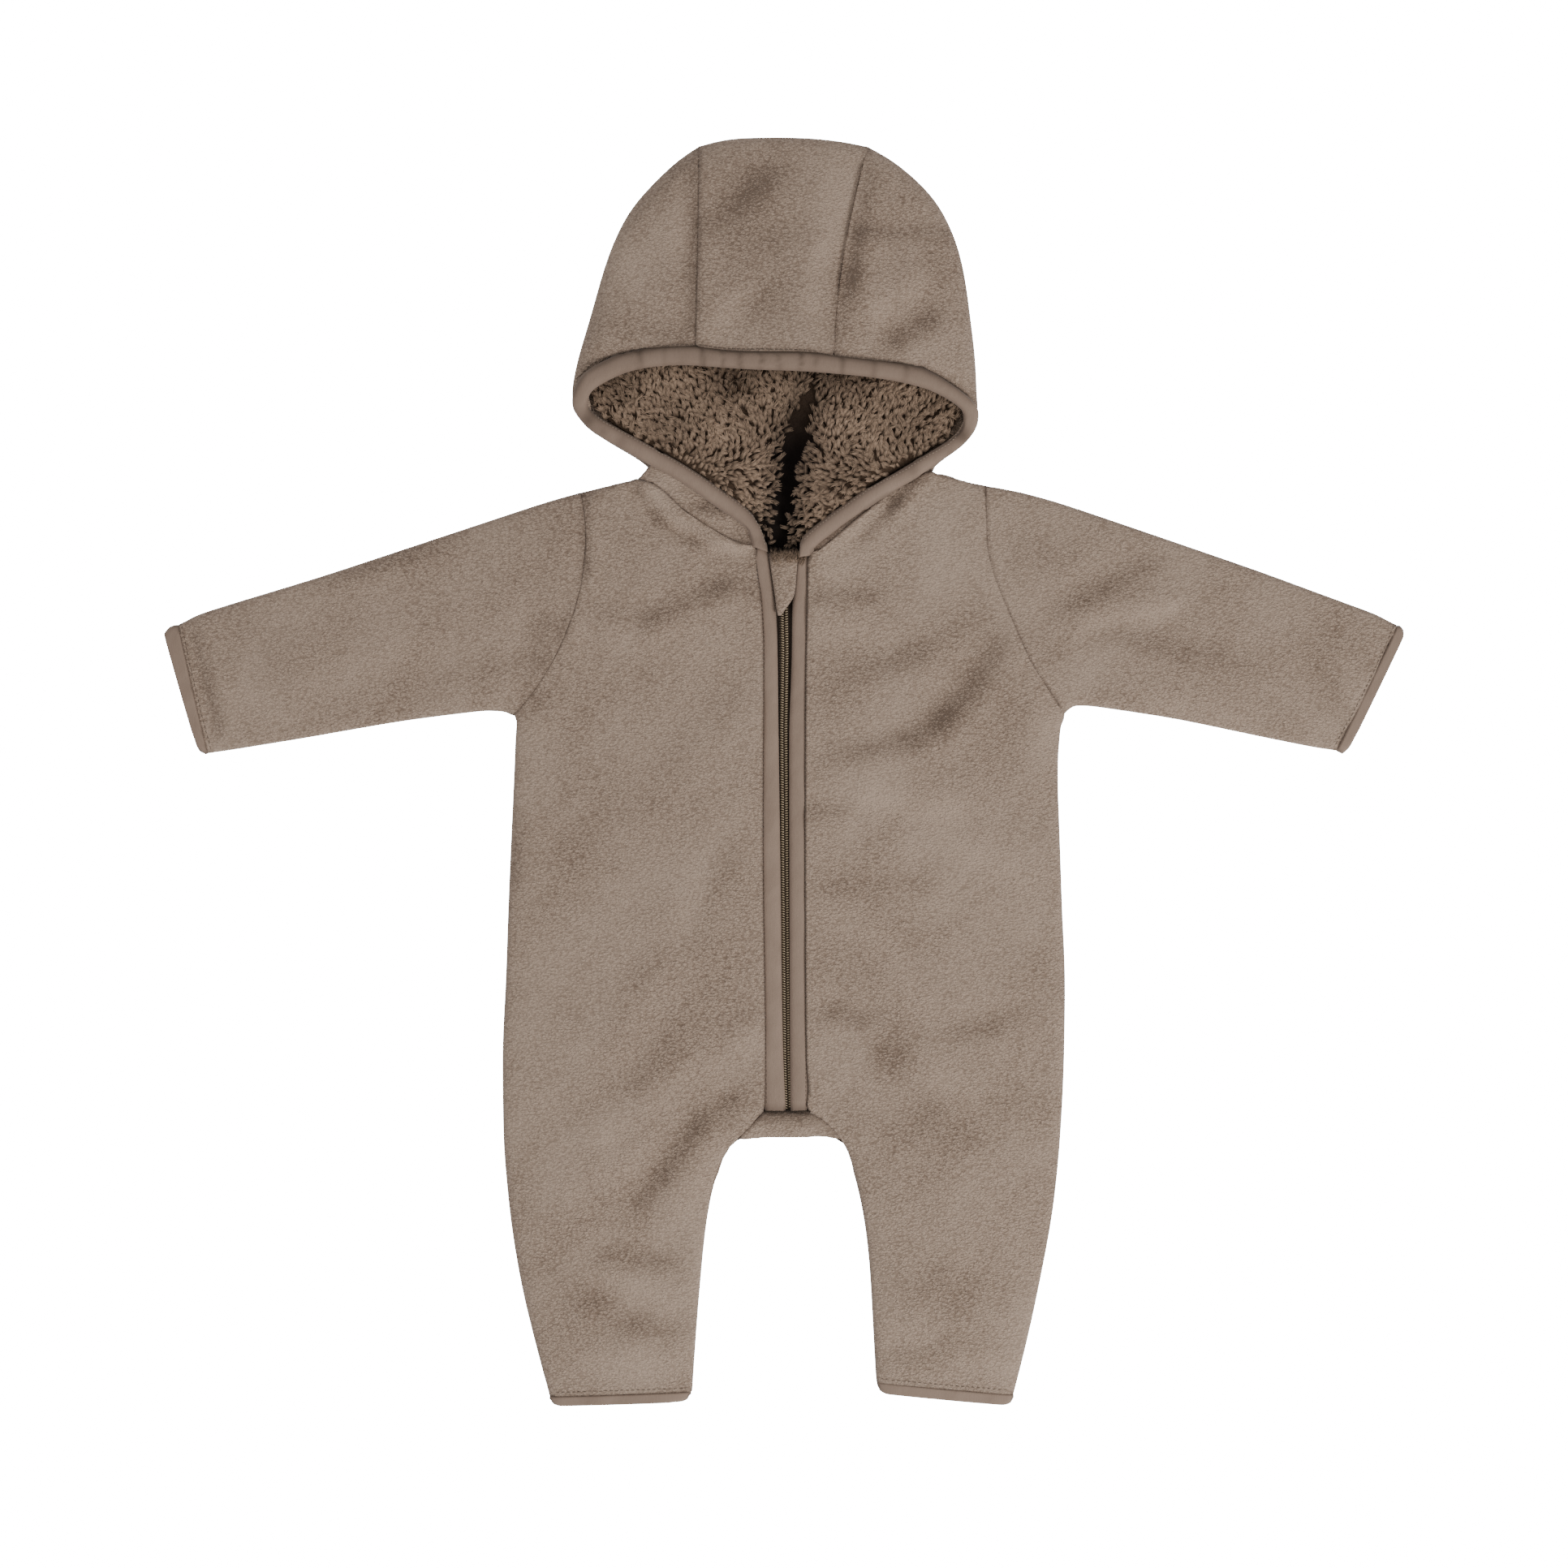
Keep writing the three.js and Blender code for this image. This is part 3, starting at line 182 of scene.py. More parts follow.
def makeLoftedGrain():
    # short crinkled tufts that wander, with finer fibres on them
    group, start, end = newGroup("loftedGrain", [
        ("Vector", "NodeSocketVector", None),
        ("Tufts per metre", "NodeSocketFloat", 600.0),
        ("Stretch", "NodeSocketVector", (0.75, 1.25, 1.0)),
        ("Crinkle", "NodeSocketFloat", 1.1),
    ], [("Height", "NodeSocketFloat"), ("Fibres", "NodeSocketFloat")])
    scale = start.outputs["Tufts per metre"]
    stretched = addNode(group, "ShaderNodeVectorMath", operation="MULTIPLY")
    place = feed(group, stretched, {0: start.outputs["Vector"], 1: start.outputs["Stretch"]}).outputs[0]
    tufts = noiseNode(group, place, scale, 1.5, 0.5, start.outputs["Crinkle"]).outputs["Fac"]
    finer = mathNode(group, "MULTIPLY", scale, tuftShape["fibres"])
    fibres = noiseNode(group, place, finer, 2.0, 0.6, 0.6).outputs["Fac"]
    # pebbled tips of the tufts, their cells bent out of shape
    bending = noiseNode(group, place, scale, 1.0).outputs["Color"]
    offset = addNode(group, "ShaderNodeVectorMath", operation="MULTIPLY_ADD")
    feed(group, offset, {0: bending, 1: tuftShape["bend"], 2: place})
    tips = addNode(group, "ShaderNodeTexVoronoi", feature="F1")
    packed = mathNode(group, "MULTIPLY", scale, tuftShape["tips"])
    feed(group, tips, {"Vector": offset.outputs[0], "Scale": packed})
    nearness = mathNode(group, "SUBTRACT", tuftShape["tipHigh"], tips.outputs["Distance"], clamp=True)
    raised = mathNode(group, "POWER", nearness, tuftShape["tipBlunt"])
    height = addTo(group, tuftShape["lowest"], raised, tuftShape["tipShare"])
    height = addTo(group, height, tufts, tuftShape["tuftShare"])
    height = addTo(group, height, fibres, tuftShape["fibreShare"])
    group.links.new(height, end.inputs["Height"])
    group.links.new(fibres, end.inputs["Fibres"])
    return group


# patches of nap: which way they run and how drawn out they are
patchShape = {"Rotation": (0, 0, math.radians(56)), "Scale": (1.5, 0.7, 1)}


def makeNapPatches():
    # broad patches where the nap was stroked one way or the other
    group, start, end = newGroup("napPatches", [
        ("Vector", "NodeSocketVector", None),
        ("Patches per metre", "NodeSocketFloat", 16.0),
        ("Contrast", "NodeSocketFloat", 2.2),
    ], [("Mask", "NodeSocketFloat")])
    turned = addNode(group, "ShaderNodeMapping", vector_type="TEXTURE")
    feed(group, turned, {"Vector": start.outputs["Vector"], **patchShape})
    clouds = noiseNode(group, turned.outputs[0], start.outputs["Patches per metre"], 3.0, 0.55, 0.6)
    centred = mathNode(group, "SUBTRACT", clouds.outputs["Fac"], 0.5)
    spread = mathNode(group, "MULTIPLY", centred, start.outputs["Contrast"])
    group.links.new(mathNode(group, "ADD", spread, 0.5, clamp=True), end.inputs["Mask"])
    return group


loftedGrain = makeLoftedGrain()
napPatches = makeNapPatches()


def newMaterial(name):
    material = bpy.data.materials.new(name)
    material.use_nodes = True
    tree = material.node_tree
    return material, tree, addNode(tree, "ShaderNodeTexCoord").outputs["Object"]


def useGroup(tree, group, values):
    node = addNode(tree, "ShaderNodeGroup")
    node.node_tree = group
    return feed(tree, node, values).outputs


def dressShader(tree, colour, height, look):
    # colour and bump vary over the cloth; what is the same all over is set on the shader's own sockets
    bump = addNode(tree, "ShaderNodeBump")
    feed(tree, bump, {"Height": height, "Strength": look["bump"], "Distance": look["bumpDistance"]})
    values = {"Base Color": colour, "Normal": bump.outputs["Normal"], **look["shader"]}
    feed(tree, tree.nodes["Principled BSDF"], values)


def attribute(tree, name):
    return addNode(tree, "ShaderNodeAttribute", attribute_name=name).outputs["Fac"]


# stroked nap is smoother, paler and greyer, ruffled nap shows each tuft; tones are what each mask adds
# the darkest colour is painted shade, mixed in along seams, grooves and folds
fleeceLook = {
    "light": (0.475, 0.348, 0.262, 1), "dark": (0.185, 0.124, 0.086, 1), "paintedShadeColour": (0.060, 0.036, 0.022, 1),
    "stroked": (0.98, 1.0, 1.02, 1), "tufts": 540.0, "ruffled": 1.15, "smoothed": -0.5, "contrast": 2.6,
    "tone": 0.60, "patchTone": 0.22, "foldShadingTone": 0.30, "bump": 0.95, "bumpDistance": 0.0016,
    "shader": {"Roughness": 0.95, "Sheen Weight": 0.10, "Sheen Roughness": 0.6},
}


def makeFleece():
    look = fleeceLook
    material, tree, place = newMaterial("fleece")
    grain = useGroup(tree, loftedGrain, {"Vector": place, "Tufts per metre": look["tufts"]})
    patches = useGroup(tree, napPatches, {"Vector": place})["Mask"]
    ruffled = addTo(tree, look["ruffled"], patches, look["smoothed"])
    centred = mathNode(tree, "SUBTRACT", grain["Height"], 0.5)
    shade = mathNode(tree, "MULTIPLY", centred, ruffled)
    tone = addTo(tree, look["tone"], patches, look["patchTone"])
    # painted shade and light along the folds, from the crease table
    tone = addTo(tree, tone, attribute(tree, "foldShading"), look["foldShadingTone"])
    tone = addTo(tree, tone, shade, look["contrast"], clamp=True)
    colour = mixColour(tree, tone, look["dark"], look["light"])
    colour = mixColour(tree, patches, colour, look["stroked"], "MULTIPLY")
    # painted shade in seams, grooves and folds
    colour = mixColour(tree, attribute(tree, "paintedShade"), colour, look["paintedShadeColour"])
    dressShader(tree, colour, mathNode(tree, "MULTIPLY", grain["Height"], ruffled), look)
    return material


bindingLook = {
    "light": (0.350, 0.252, 0.192, 1), "dark": (0.215, 0.148, 0.110, 1), "paintedShadeColour": fleeceLook["paintedShadeColour"],
    "ribs": {"Tufts per metre": 800.0, "Stretch": (1.6, 0.25, 1.0), "Crinkle": 0.3},
    "patches": {"Patches per metre": 60.0, "Contrast": 1.4},
    "tone": 0.02, "ribTone": 0.35, "patchTone": 0.6, "bump": 0.3, "bumpDistance": 0.0004,
    "shader": {"Roughness": 0.82, "Sheen Weight": 0.1},
}


def makeBinding():
    look = bindingLook
    material, tree, place = newMaterial("binding")
    ribs = useGroup(tree, loftedGrain, {"Vector": place, **look["ribs"]})["Height"]
    patches = useGroup(tree, napPatches, {"Vector": place, **look["patches"]})["Mask"]
    tone = addTo(tree, look["tone"], patches, look["patchTone"])
    tone = addTo(tree, tone, ribs, look["ribTone"], clamp=True)
    colour = mixColour(tree, tone, look["dark"], look["light"])
    # painted shade where the binding rolls down, in its pleats and along its seams
    colour = mixColour(tree, attribute(tree, "paintedShade"), colour, look["paintedShadeColour"])
    dressShader(tree, colour, ribs, look)
    return material


# the root colour is painted shade at the foot of the locks, the tip colour the lit pile; the depth colour is
# painted shade in the crease
pileLook = {
    "tip": (0.590, 0.420, 0.300, 1), "root": (0.042, 0.023, 0.013, 1), "depth": (0.006, 0.003, 0.002, 1),
    "fibres": 700.0, "tone": -0.17, "fibreTone": 0.35, "bump": 0.7, "bumpDistance": 0.0010,
    "shader": {"Roughness": 0.9, "Specular IOR Level": 0.12, "Sheen Weight": 0.04},
}


def makePile():
    look = pileLook
    material, tree, place = newMaterial("pile")
    grain = useGroup(tree, loftedGrain, {"Vector": place, "Tufts per metre": look["fibres"]})
    tone = mathNode(tree, "ADD", attribute(tree, "tone"), look["tone"])
    tone = addTo(tree, tone, grain["Fibres"], look["fibreTone"], clamp=True)
    colour = mixColour(tree, tone, look["root"], look["tip"])
    # painted shade, near black, in the crease of the lining
    colour = mixColour(tree, attribute(tree, "depth"), colour, look["depth"])
    dressShader(tree, colour, grain["Fibres"], look)
    return material


# plain finishes: name, dark, light, grain per metre, roughness and metal
plainGrain = {"crinkle": 0.4, "bump": 0.3, "bumpDistance": 0.0002}
plainFinishes = {
    "tape": ("zipTape", (0.010, 0.0055, 0.003, 1), (0.050, 0.030, 0.016, 1), 1800.0, 0.9, 0.0),
    "teeth": ("zipTeeth", (0.20, 0.145, 0.085, 1), (0.50, 0.40, 0.27, 1), 900.0, 0.38, 0.55),
    "thread": ("thread", (0.085, 0.060, 0.044, 1), (0.16, 0.118, 0.090, 1), 2400.0, 0.8, 0.0),
    "paleThread": ("paleThread", (0.26, 0.20, 0.15, 1), (0.46, 0.37, 0.29, 1), 2400.0, 0.8, 0.0),
    "brass": ("zipMetal", (0.20, 0.15, 0.09, 1), (0.42, 0.33, 0.20, 1), 600.0, 0.42, 0.8),
}


def makePlain(name, dark, light, scale, roughness, metal):
    material, tree, place = newMaterial(name)
    grain = useGroup(tree, loftedGrain, {"Vector": place, "Tufts per metre": scale,
                                         "Crinkle": plainGrain["crinkle"]})
    colour = mixColour(tree, grain["Fibres"], dark, light)
    settings = {"Roughness": roughness, "Metallic": metal}
    dressShader(tree, colour, grain["Height"], {"shader": settings, **plainGrain})
    return material


materials = {"fleece": makeFleece(), "binding": makeBinding(), "pile": makePile()}
for finish, values in plainFinishes.items():
    materials[finish] = makePlain(*values)
print("materials ready")


# soft relief of the fleece, mm: the ends of a line in plan, its half width and its tone; a slope that
# turns away from the key light is dark and below zero, one that turns towards it is above
creases = [
    (-100, 87, -74, 83, 7, -0.5), (-74, 82, -34, 100, 7, -1.0), (-34, 100, -18, 99, 6, -0.5),
    (-32, 37, -60, 8, 12, -0.45), (-74, -13, -108, -37, 12, -0.3), (-29, -39, -45, -87, 8, -0.5),
    (-50, -92, -74, -108, 9, -0.3), (-60, -139, -82, -171, 9, -0.5), (-82, -171, -110, -187, 9, -0.35),
    (-29, -179, -47, -192, 7, -0.9), (-47, -192, -68, -221, 7, -1.0), (-68, -221, -79, -234, 7, -0.8),
    (-96, -262, -63, -266, 6, -0.95), (-126, -271, -103, -287, 9, -0.6), (-103, -287, -84, -300, 8, -0.6),
    (-84, -300, -63, -304, 7, -0.9), (-28, -134, -20, -133, 6, -0.5), (-137, -118, -108, -139, 9, -0.3),
    (-142, 30, -132, 40, 8, -0.5), (-145, -26, -145, -58, 6, -0.6), (-90, -120, -70, -100, 9, -0.25),
    (21, 95, 47, 95, 5, -0.8), (34, 50, 71, 63, 8, -0.7), (71, 63, 103, 82, 8, -0.35),
    (116, 68, 103, 47, 8, -1.0), (103, 47, 87, 29, 9, -1.2), (87, 29, 71, 18, 9, -1.2),
    (71, 18, 45, 12, 7, -0.85), (45, 12, 28, 8, 7, -0.6), (118, 52, 124, 30, 9, -0.4),
    (16, -21, 29, -22, 5, -0.8), (29, -63, 76, -60, 8, -0.45), (130, -29, 142, -30, 12, -0.35),
    (118, -92, 145, -116, 10, -0.45), (26, -130, 42, -134, 6, -1.1), (42, -142, 58, -155, 8, -0.8),
    (58, -155, 76, -180, 10, -0.6), (80, -187, 102, -200, 10, -0.6), (76, -143, 112, -139, 7, -0.5),
    (116, -138, 134, -131, 7, -0.5), (120, -179, 128, -179, 10, -0.4), (34, -184, 62, -196, 8, -0.4),
    (79, -279, 96, -284, 14, -0.6), (58, -316, 79, -316, 6, -0.5), (50, -16, 90, -21, 9, 1.0),
    (90, -37, 130, -60, 7, 0.5), (24, 76, 47, 74, 8, 0.7), (24, 110, 50, 121, 10, 0.5),
    (142, 24, 145, 3, 10, 0.7), (24, -76, 50, -92, 9, 0.6), (50, -92, 76, -132, 10, 0.5),
    (-90, 71, -29, 71, 13, 0.4), (-42, -158, -95, -197, 8, 0.5), (-84, -210, -108, -229, 12, 0.5),
    (-95, -276, -60, -287, 7, 0.7), (-108, -321, -60, -324, 8, 0.5), (100, -321, 120, -324, 7, 0.5),
    (60, -303, 70, -303, 10, 0.35), (76, -166, 103, -171, 8, 0.4), (-18, -145, -34, -166, 7, 0.4),
    (-37, -208, -55, -240, 7, 0.5), (-127, 80, -132, 62, 9, -0.8), (-291, 80, -271, 56, 10, -0.4),
    (-196, 43, -147, 58, 10, -0.4), (-256, 46, -196, 68, 11, 0.4), (-246, 103, -182, 123, 5, -0.5),
    (-300, 40, -270, 30, 9, 0.3), (151, 88, 200, 113, 7, -0.8), (176, 75, 215, 65, 7, -0.7),
    (217, 64, 250, 58, 9, -0.6), (132, 118, 144, 118, 12, -0.4), (290, 58, 305, 28, 8, -0.6),
    (138, 70, 146, 64, 8, -0.4), (166, 80, 210, 88, 6, 0.7), (200, 38, 250, 28, 8, 0.6),
    (-38, 296, -8, 321, 9, -1.2), (-2, 286, 10, 290, 9, -0.4), (-60, 328, -50, 332, 8, -0.6),
    (-92, 242, -53, 232, 9, -0.7), (-49, 322, -50, 240, 5, -0.9), (47, 326, 37, 267, 6, -1.0),
    (37, 267, 29, 237, 6, -0.9), (38, 264, 41, 260, 7, -0.4), (42, 291, 86, 291, 5, -0.9),
    (62, 234, 78, 243, 7, -1.3), (52, 249, 72, 262, 7, 0.8), (22, 281, 32, 326, 9, 0.7),
    (-79, 152, -68, 137, 4, -1.3), (-68, 137, -47, 124, 4, -1.0), (-47, 124, -30, 117, 4, -0.4),
    (-73, 150, -57, 134, 4, 1.1), (-57, 134, -37, 122, 4, 1.3), (-37, 122, -20, 117, 4, 1.2),
    (71, 157, 60, 144, 4, -1.2), (60, 144, 45, 130, 4, -0.4), (52, 143, 36, 128, 4, 0.7),
    (36, 128, 24, 119, 4, 0.6), (-38, 237, -23, 257, 7, 0.7), (-78, 276, -53, 291, 13, 0.6),
    (14, 250, 22, 280, 8, 0.4), (-80, 300, -64, 312, 8, -0.4), (-44, 143, -38, 141, 4, -1.2),
    (-25, 131, -21, 127, 3, -1.0), (-318, 72, -306, 22, 5, -0.8), (-112, 158, -72, 166, 9, -0.7),
    (-108, 150, -107, 112, 4, -0.7), (-107, 110, -120, 72, 4, -0.6), (60, -20, 115, -70, 42, 0.40),
    (60, 100, 100, 130, 26, 0.25), (100, -190, 108, -260, 26, 0.25), (-70, 60, -40, 20, 30, 0.2),
    (-160, 118, -110, 145, 20, -0.3), (-27, 325, -6, 258, 22, -0.75), (-78, 312, -62, 262, 22, -0.35),
    (70, 312, 84, 270, 14, -0.2), (-46, 318, -44, 250, 4, -0.3), (-100, 262, -104, 228, 9, -0.4),
    (-14, 250, 4, 236, 12, -0.4), (-70, 322, -56, 330, 10, -0.4), (300, 76, 318, 60, 9, -0.3),
    (-40, -80, -110, -190, 14, 0.25), (-20, -20, -60, -90, 10, 0.25),
]
# height of the folds and waves, how high above the floor they begin, and the reach of the nap, metres
clothShape = {"high": 0.0026, "wave": 0.0006, "waveScale": 21.0, "ripples": 9, "lowest": 0.0045,
              "fadeIn": 0.003, "napReach": 0.00024}
lightSide = np.array([0.7071, -0.7071])


def smooth(low, high, values):
    share = np.clip((values - low) / (high - low), 0, 1)
    return share * share * (3 - 2 * share)


def bell(distance, half):
    return np.exp(-(distance / half) ** 2)


def unit(value):
    return min(max(value, 0), 1)


def nip(points, x, y, half, deep=1.0):
    # deep at a place given in mm, fading out around it
    away = (points[:, 0] - x * mm) ** 2 + (points[:, 1] - y * mm) ** 2
    return deep * np.exp(-away / (half * mm) ** 2)


def along(points, ends):
    # signed distance to a line in plan, positive on the lit side, plain distance, and the place along it
    start, end = np.array(ends[:2]) * mm, np.array(ends[2:4]) * mm
    step = end - start
    length = np.linalg.norm(step)
    share = ((points[:, :2] - start) @ step) / length ** 2
    side = np.array([-step[1], step[0]]) / length
    if side @ lightSide < 0:
        side = -side
    near = start + np.clip(share, 0, 1)[:, None] * step
    away = points[:, :2] - near
    return away @ side, np.linalg.norm(away, axis=1), share


def creaseField(points):
    rise = np.zeros(len(points))
    foldShading = np.zeros(len(points))
    for *ends, wide, tone in creases:
        half = wide * mm
        signed, distance, share = along(points, ends)
        # each fold swells and fades unevenly along its length
        pulse = 0.82 + 0.18 * np.sin(5.1 * share + ends[0] * 0.37 + ends[1] * 0.21)
        rise -= tone * clothShape["high"] * signed / half * np.exp(-0.5 * (distance / half) ** 2) * pulse
        # the same tone paints shade and light into the colour along each fold: painted shade where the slope
        # turns from the key light, painted light where it turns towards it
        foldShading += tone * bell(distance, half) * pulse
    return rise, foldShading


def waves(points, seed):
    # gentle unevenness: a few crossing ripples with seeded directions
    draw = np.random.default_rng(seed)
    total = np.zeros(len(points))
    x, y = points[:, 0], points[:, 1]
    for ripple in range(clothShape["ripples"]):
        angle = draw.uniform(0, 2 * math.pi)
        pitch = clothShape["waveScale"] * draw.uniform(0.7, 2.6)
        bend = 0.6 * np.sin(x * pitch * 0.9 + ripple) + 0.6 * np.cos(y * pitch * 0.8 + 2 * ripple)
        phase = (x * math.cos(angle) + y * math.sin(angle)) * pitch * 2 + bend
        total += np.sin(phase + draw.uniform(0, 6.28)) / clothShape["ripples"]
    return total


def dividedData(piece, kind):
    division = piece.modifiers.new("fine", "SUBSURF")
    division.subdivision_type = kind
    division.levels = division.render_levels = fineShape["levels"]
    graph = bpy.context.evaluated_depsgraph_get()
    data = bpy.data.meshes.new_from_object(piece.evaluated_get(graph))
    piece.modifiers.clear()
    return data


def writePoints(piece, points):
    piece.data.vertices.foreach_set("co", points.ravel())
    piece.data.update()


def readVectors(data, kind="co"):
    values = np.empty(len(data.vertices) * 3)
    data.vertices.foreach_get(kind, values)
    return values.reshape(-1, 3)


def writeMask(piece, name, values):
    layer = piece.data.attributes.new(name, "FLOAT", "POINT")
    layer.data.foreach_set("value", values.astype(np.float32))


# sewn edges lean halfway to the piece beside them, so that no gap shows: metres, and how much painted shade
# lies along a seam
seam = {"reach": 0.0040, "full": 0.0030, "level": 0.7, "wall": (0.88, 0.62), "shade": 0.45}
openPieces = ("zip_tape", "zip_slider", "chin_flap", "hood_lining")
zipEdge = ("zip_strip_left", "zip_strip_right", "face_binding")
# places where the outline keeps the corners of its pattern, mm: x, y and half widths
tightCorners = [(3, -203, 36, 15)]
# how a form is divided: how often, which edges are sharp and how sharp they stay, and what joins to quads
fineShape = {"levels": 2, "sharp": math.radians(58), "keepEdge": 0.75,
             "quads": {"angle_face_threshold": math.radians(50), "angle_shape_threshold": math.radians(60)}}


def treeOf(pieces):
    # one search tree over the faces of all the pieces
    points, faces = [], []
    for piece in pieces:
        start = len(points)
        points += [piece.matrix_world @ vertex.co for vertex in piece.data.vertices]
        faces += [[start + index for index in face.vertices] for face in piece.data.polygons]
    return BVHTree.FromPolygons(points, faces)


def neighbours(nodeName):
    for other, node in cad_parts.items():
        if other == nodeName or other in openPieces or (nodeName in zipEdge and other in zipEdge):
            continue
        yield node


def seamShift(nodeName, points, upwards):
    # shift in plan to the middle of each gap, and how much of it a point takes
    shift, share = np.zeros((len(points), 2)), np.zeros(len(points))
    if nodeName in openPieces:
        return shift, share
    tree, wall = treeOf(neighbours(nodeName)), smooth(*seam["wall"], upwards)
    for index in np.flatnonzero(wall > 0):
        place = points[index]
        hit = tree.find_nearest(Vector(place), seam["reach"])
        if hit[0] is None:
            continue
        across = np.array(hit[0])[:2] - place[:2]
        flat = float(np.linalg.norm(across))
        if flat >= seam["level"] * hit[3]:
            shift[index] = across / 2
            share[index] = wall[index] * float(smooth(seam["reach"], seam["full"], np.array(flat)))
    return shift, share


def fineCopy(nodeName):
    # the node's form with smoother curvature: quads first, then subdivided
    work = bmesh.new()
    work.from_mesh(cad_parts[nodeName].data)
    bmesh.ops.remove_doubles(work, verts=work.verts, dist=1e-6)
    bmesh.ops.join_triangles(work, faces=work.faces, **fineShape["quads"])
    layer = work.edges.layers.float.new("crease_edge")
    for edge in work.edges:
        if len(edge.link_faces) == 2 and edge.calc_face_angle() > fineShape["sharp"]:
            edge[layer] = fineShape["keepEdge"]
    data = bpy.data.meshes.new(nodeName)
    work.to_mesh(data)
    work.free()
    piece = addObject(nodeName.replace("_", "-") + "-cloth", data)
    # rounded curvature everywhere, but true seams in plan: both ways of dividing share their points
    straight = dividedData(piece, "SIMPLE")
    piece.data = dividedData(piece, "CATMULL_CLARK")
    true = readVectors(straight)
    points = readVectors(piece.data)
    shift = true[:, :2] - points[:, :2]
    upwards = readVectors(piece.data, "normal")[:, 2]
    across, beside = seamShift(nodeName, true, upwards)
    tight = beside.copy()
    for x, y, wide, tall in tightCorners:
        east, north = (true[:, 0] - x * mm) / (wide * mm), (true[:, 1] - y * mm) / (tall * mm)
        tight = np.maximum(tight, np.exp(-east ** 4 - north ** 4))
    points[:, :2] += shift * tight[:, None] + across * beside[:, None]
    writePoints(piece, points)
    # painted shade along the seams, where the edges roll down into the groove
    writeMask(piece, "paintedShade", beside * seam["shade"])
    bpy.data.meshes.remove(straight)
    for face in piece.data.polygons:
        face.use_smooth = True
    return piece


cloth = {}


def makeCloth(nodeName, slotName, seed, highShare=1.0, lowest=clothShape["lowest"]):
    piece = fineCopy(nodeName)
    points, normals = readVectors(piece.data), readVectors(piece.data, "normal")
    # the nap closes the seams: side walls stand out a little towards their neighbours
    points[:, :2] += normals[:, :2] * clothShape["napReach"]
    share = smooth(lowest, lowest + clothShape["fadeIn"], points[:, 2]) * smooth(0.0, 0.5, normals[:, 2])
    rise, foldShading = creaseField(points)
    rise += clothShape["wave"] * waves(points, seed)
    points[:, 2] += share * rise * highShare
    writePoints(piece, points)
    writeMask(piece, "foldShading", foldShading)
    piece.data.materials.clear()
    piece.data.materials.append(materials[slotName])
    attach(piece, "root")
    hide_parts(nodeName)
    cloth[nodeName] = piece


# fleece panels: seed of the unevenness, and where it isn't the usual, its lowest height and its share
fleecePieces = {
    "back": {"seed": 3}, "front_left": {"seed": 5}, "front_right": {"seed": 7},
    "sleeve_left": {"seed": 11}, "sleeve_right": {"seed": 13},
    "hood_side_left": {"seed": 17, "lowest": 0.0052}, "hood_side_right": {"seed": 19, "lowest": 0.0052},
    "hood_centre": {"seed": 23, "lowest": 0.0052}, "crotch_gusset": {"seed": 29},
    "chin_flap": {"seed": 31, "lowest": 0.0105, "highShare": 0.3},
}
bindingPieces = ("face_binding", "zip_strip_left", "zip_strip_right", "cuff_binding_left",
                 "cuff_binding_right", "hem_binding_left", "hem_binding_right")
for nodeName, values in fleecePieces.items():
    makeCloth(nodeName, "fleece", **values)
for nodeName in bindingPieces:
    makeCloth(nodeName, "binding", seed=37, highShare=0.0)
makeCloth("hood_lining", "pile", seed=41, highShare=0.0)

# cloth drawn towards a place where it is sewn in, mm: piece, x, y, half width and shift
pulls = [
    ("front_left", -19, 117, 4.5, (1.0, 5.0, -0.4)), ("hood_side_left", -18, 123, 4.0, (1.5, -1.5, 0)),
    ("zip_strip_left", -13, 118.5, 4.0, (-0.3, 4.5, 0.6)),
    ("zip_strip_right", 9.5, 117.5, 4.0, (0.5, 3.5, 0.4)), ("front_right", 16.5, -181, 5.0, (-4.5, -1.5, 0)),
    ("hood_side_right", 28, 226.4, 3.0, (-1.8, -1.0, 0)), ("hood_centre", 25.2, 226.8, 2.6, (0.8, -0.7, 0)),
    ("front_right", 149.5, 32, 5.0, (3.1, -0.9, 0)), ("back", 149.5, 32, 5.0, (3.1, -0.9, 0)),
    ("front_left", -145, 31, 4.0, (-1.4, -1.2, 0)), ("back", -145, 31, 4.0, (-1.4, -1.2, 0)),
    ("sleeve_right", 151, 34, 4.5, (0.7, -2.8, 0)), ("sleeve_left", -146, 33, 3.5, (-0.8, -1.5, 0)),
    ("crotch_gusset", -20.6, -194.8, 5.5, (-3.2, -4.0, 0)),
    ("crotch_gusset", 27, -194.8, 5.5, (3.6, -4.2, 0)), ("back", -20, -203, 6.5, (-0.5, 5.2, 0)),
    ("back", -31, -209, 5.0, (-1.6, 1.6, 0)), ("back", 24, -203, 7.0, (0.5, 5.4, 0)),
    ("back", 34, -208, 4.0, (1.0, 1.8, 0)), ("back", -12, -200, 6.0, (0, 1.8, 0)),
    ("back", 14, -200, 8.0, (0, 2.0, 0)), ("back", 30, -203, 5.0, (0.4, 2.4, 0)),
    ("back", -26, -204, 4.5, (-0.6, 2.0, 0)),
]
for nodeName, x, y, half, shift in pulls:
    points = readVectors(cloth[nodeName].data)
    near = nip(points, x, y, half)
    writePoints(cloth[nodeName], points + near[:, None] * np.array(shift) * mm)
print("cloth shaped")


# pleats of the face binding, painted as shade, mm: place across the brow, half width and depth of the shade
pleats = [(-78, 1.6, 0.35), (-64, 1.2, 0.25), (-44, 1.5, 0.4), (-33, 1.0, 0.3), (-24, 1.4, 0.35),
          (-12, 1.1, 0.4), (-3, 1.3, 0.3), (9, 1.2, 0.4), (17, 1.0, 0.25), (31, 1.4, 0.35), (48, 1.6, 0.3),
          (66, 1.5, 0.3)]
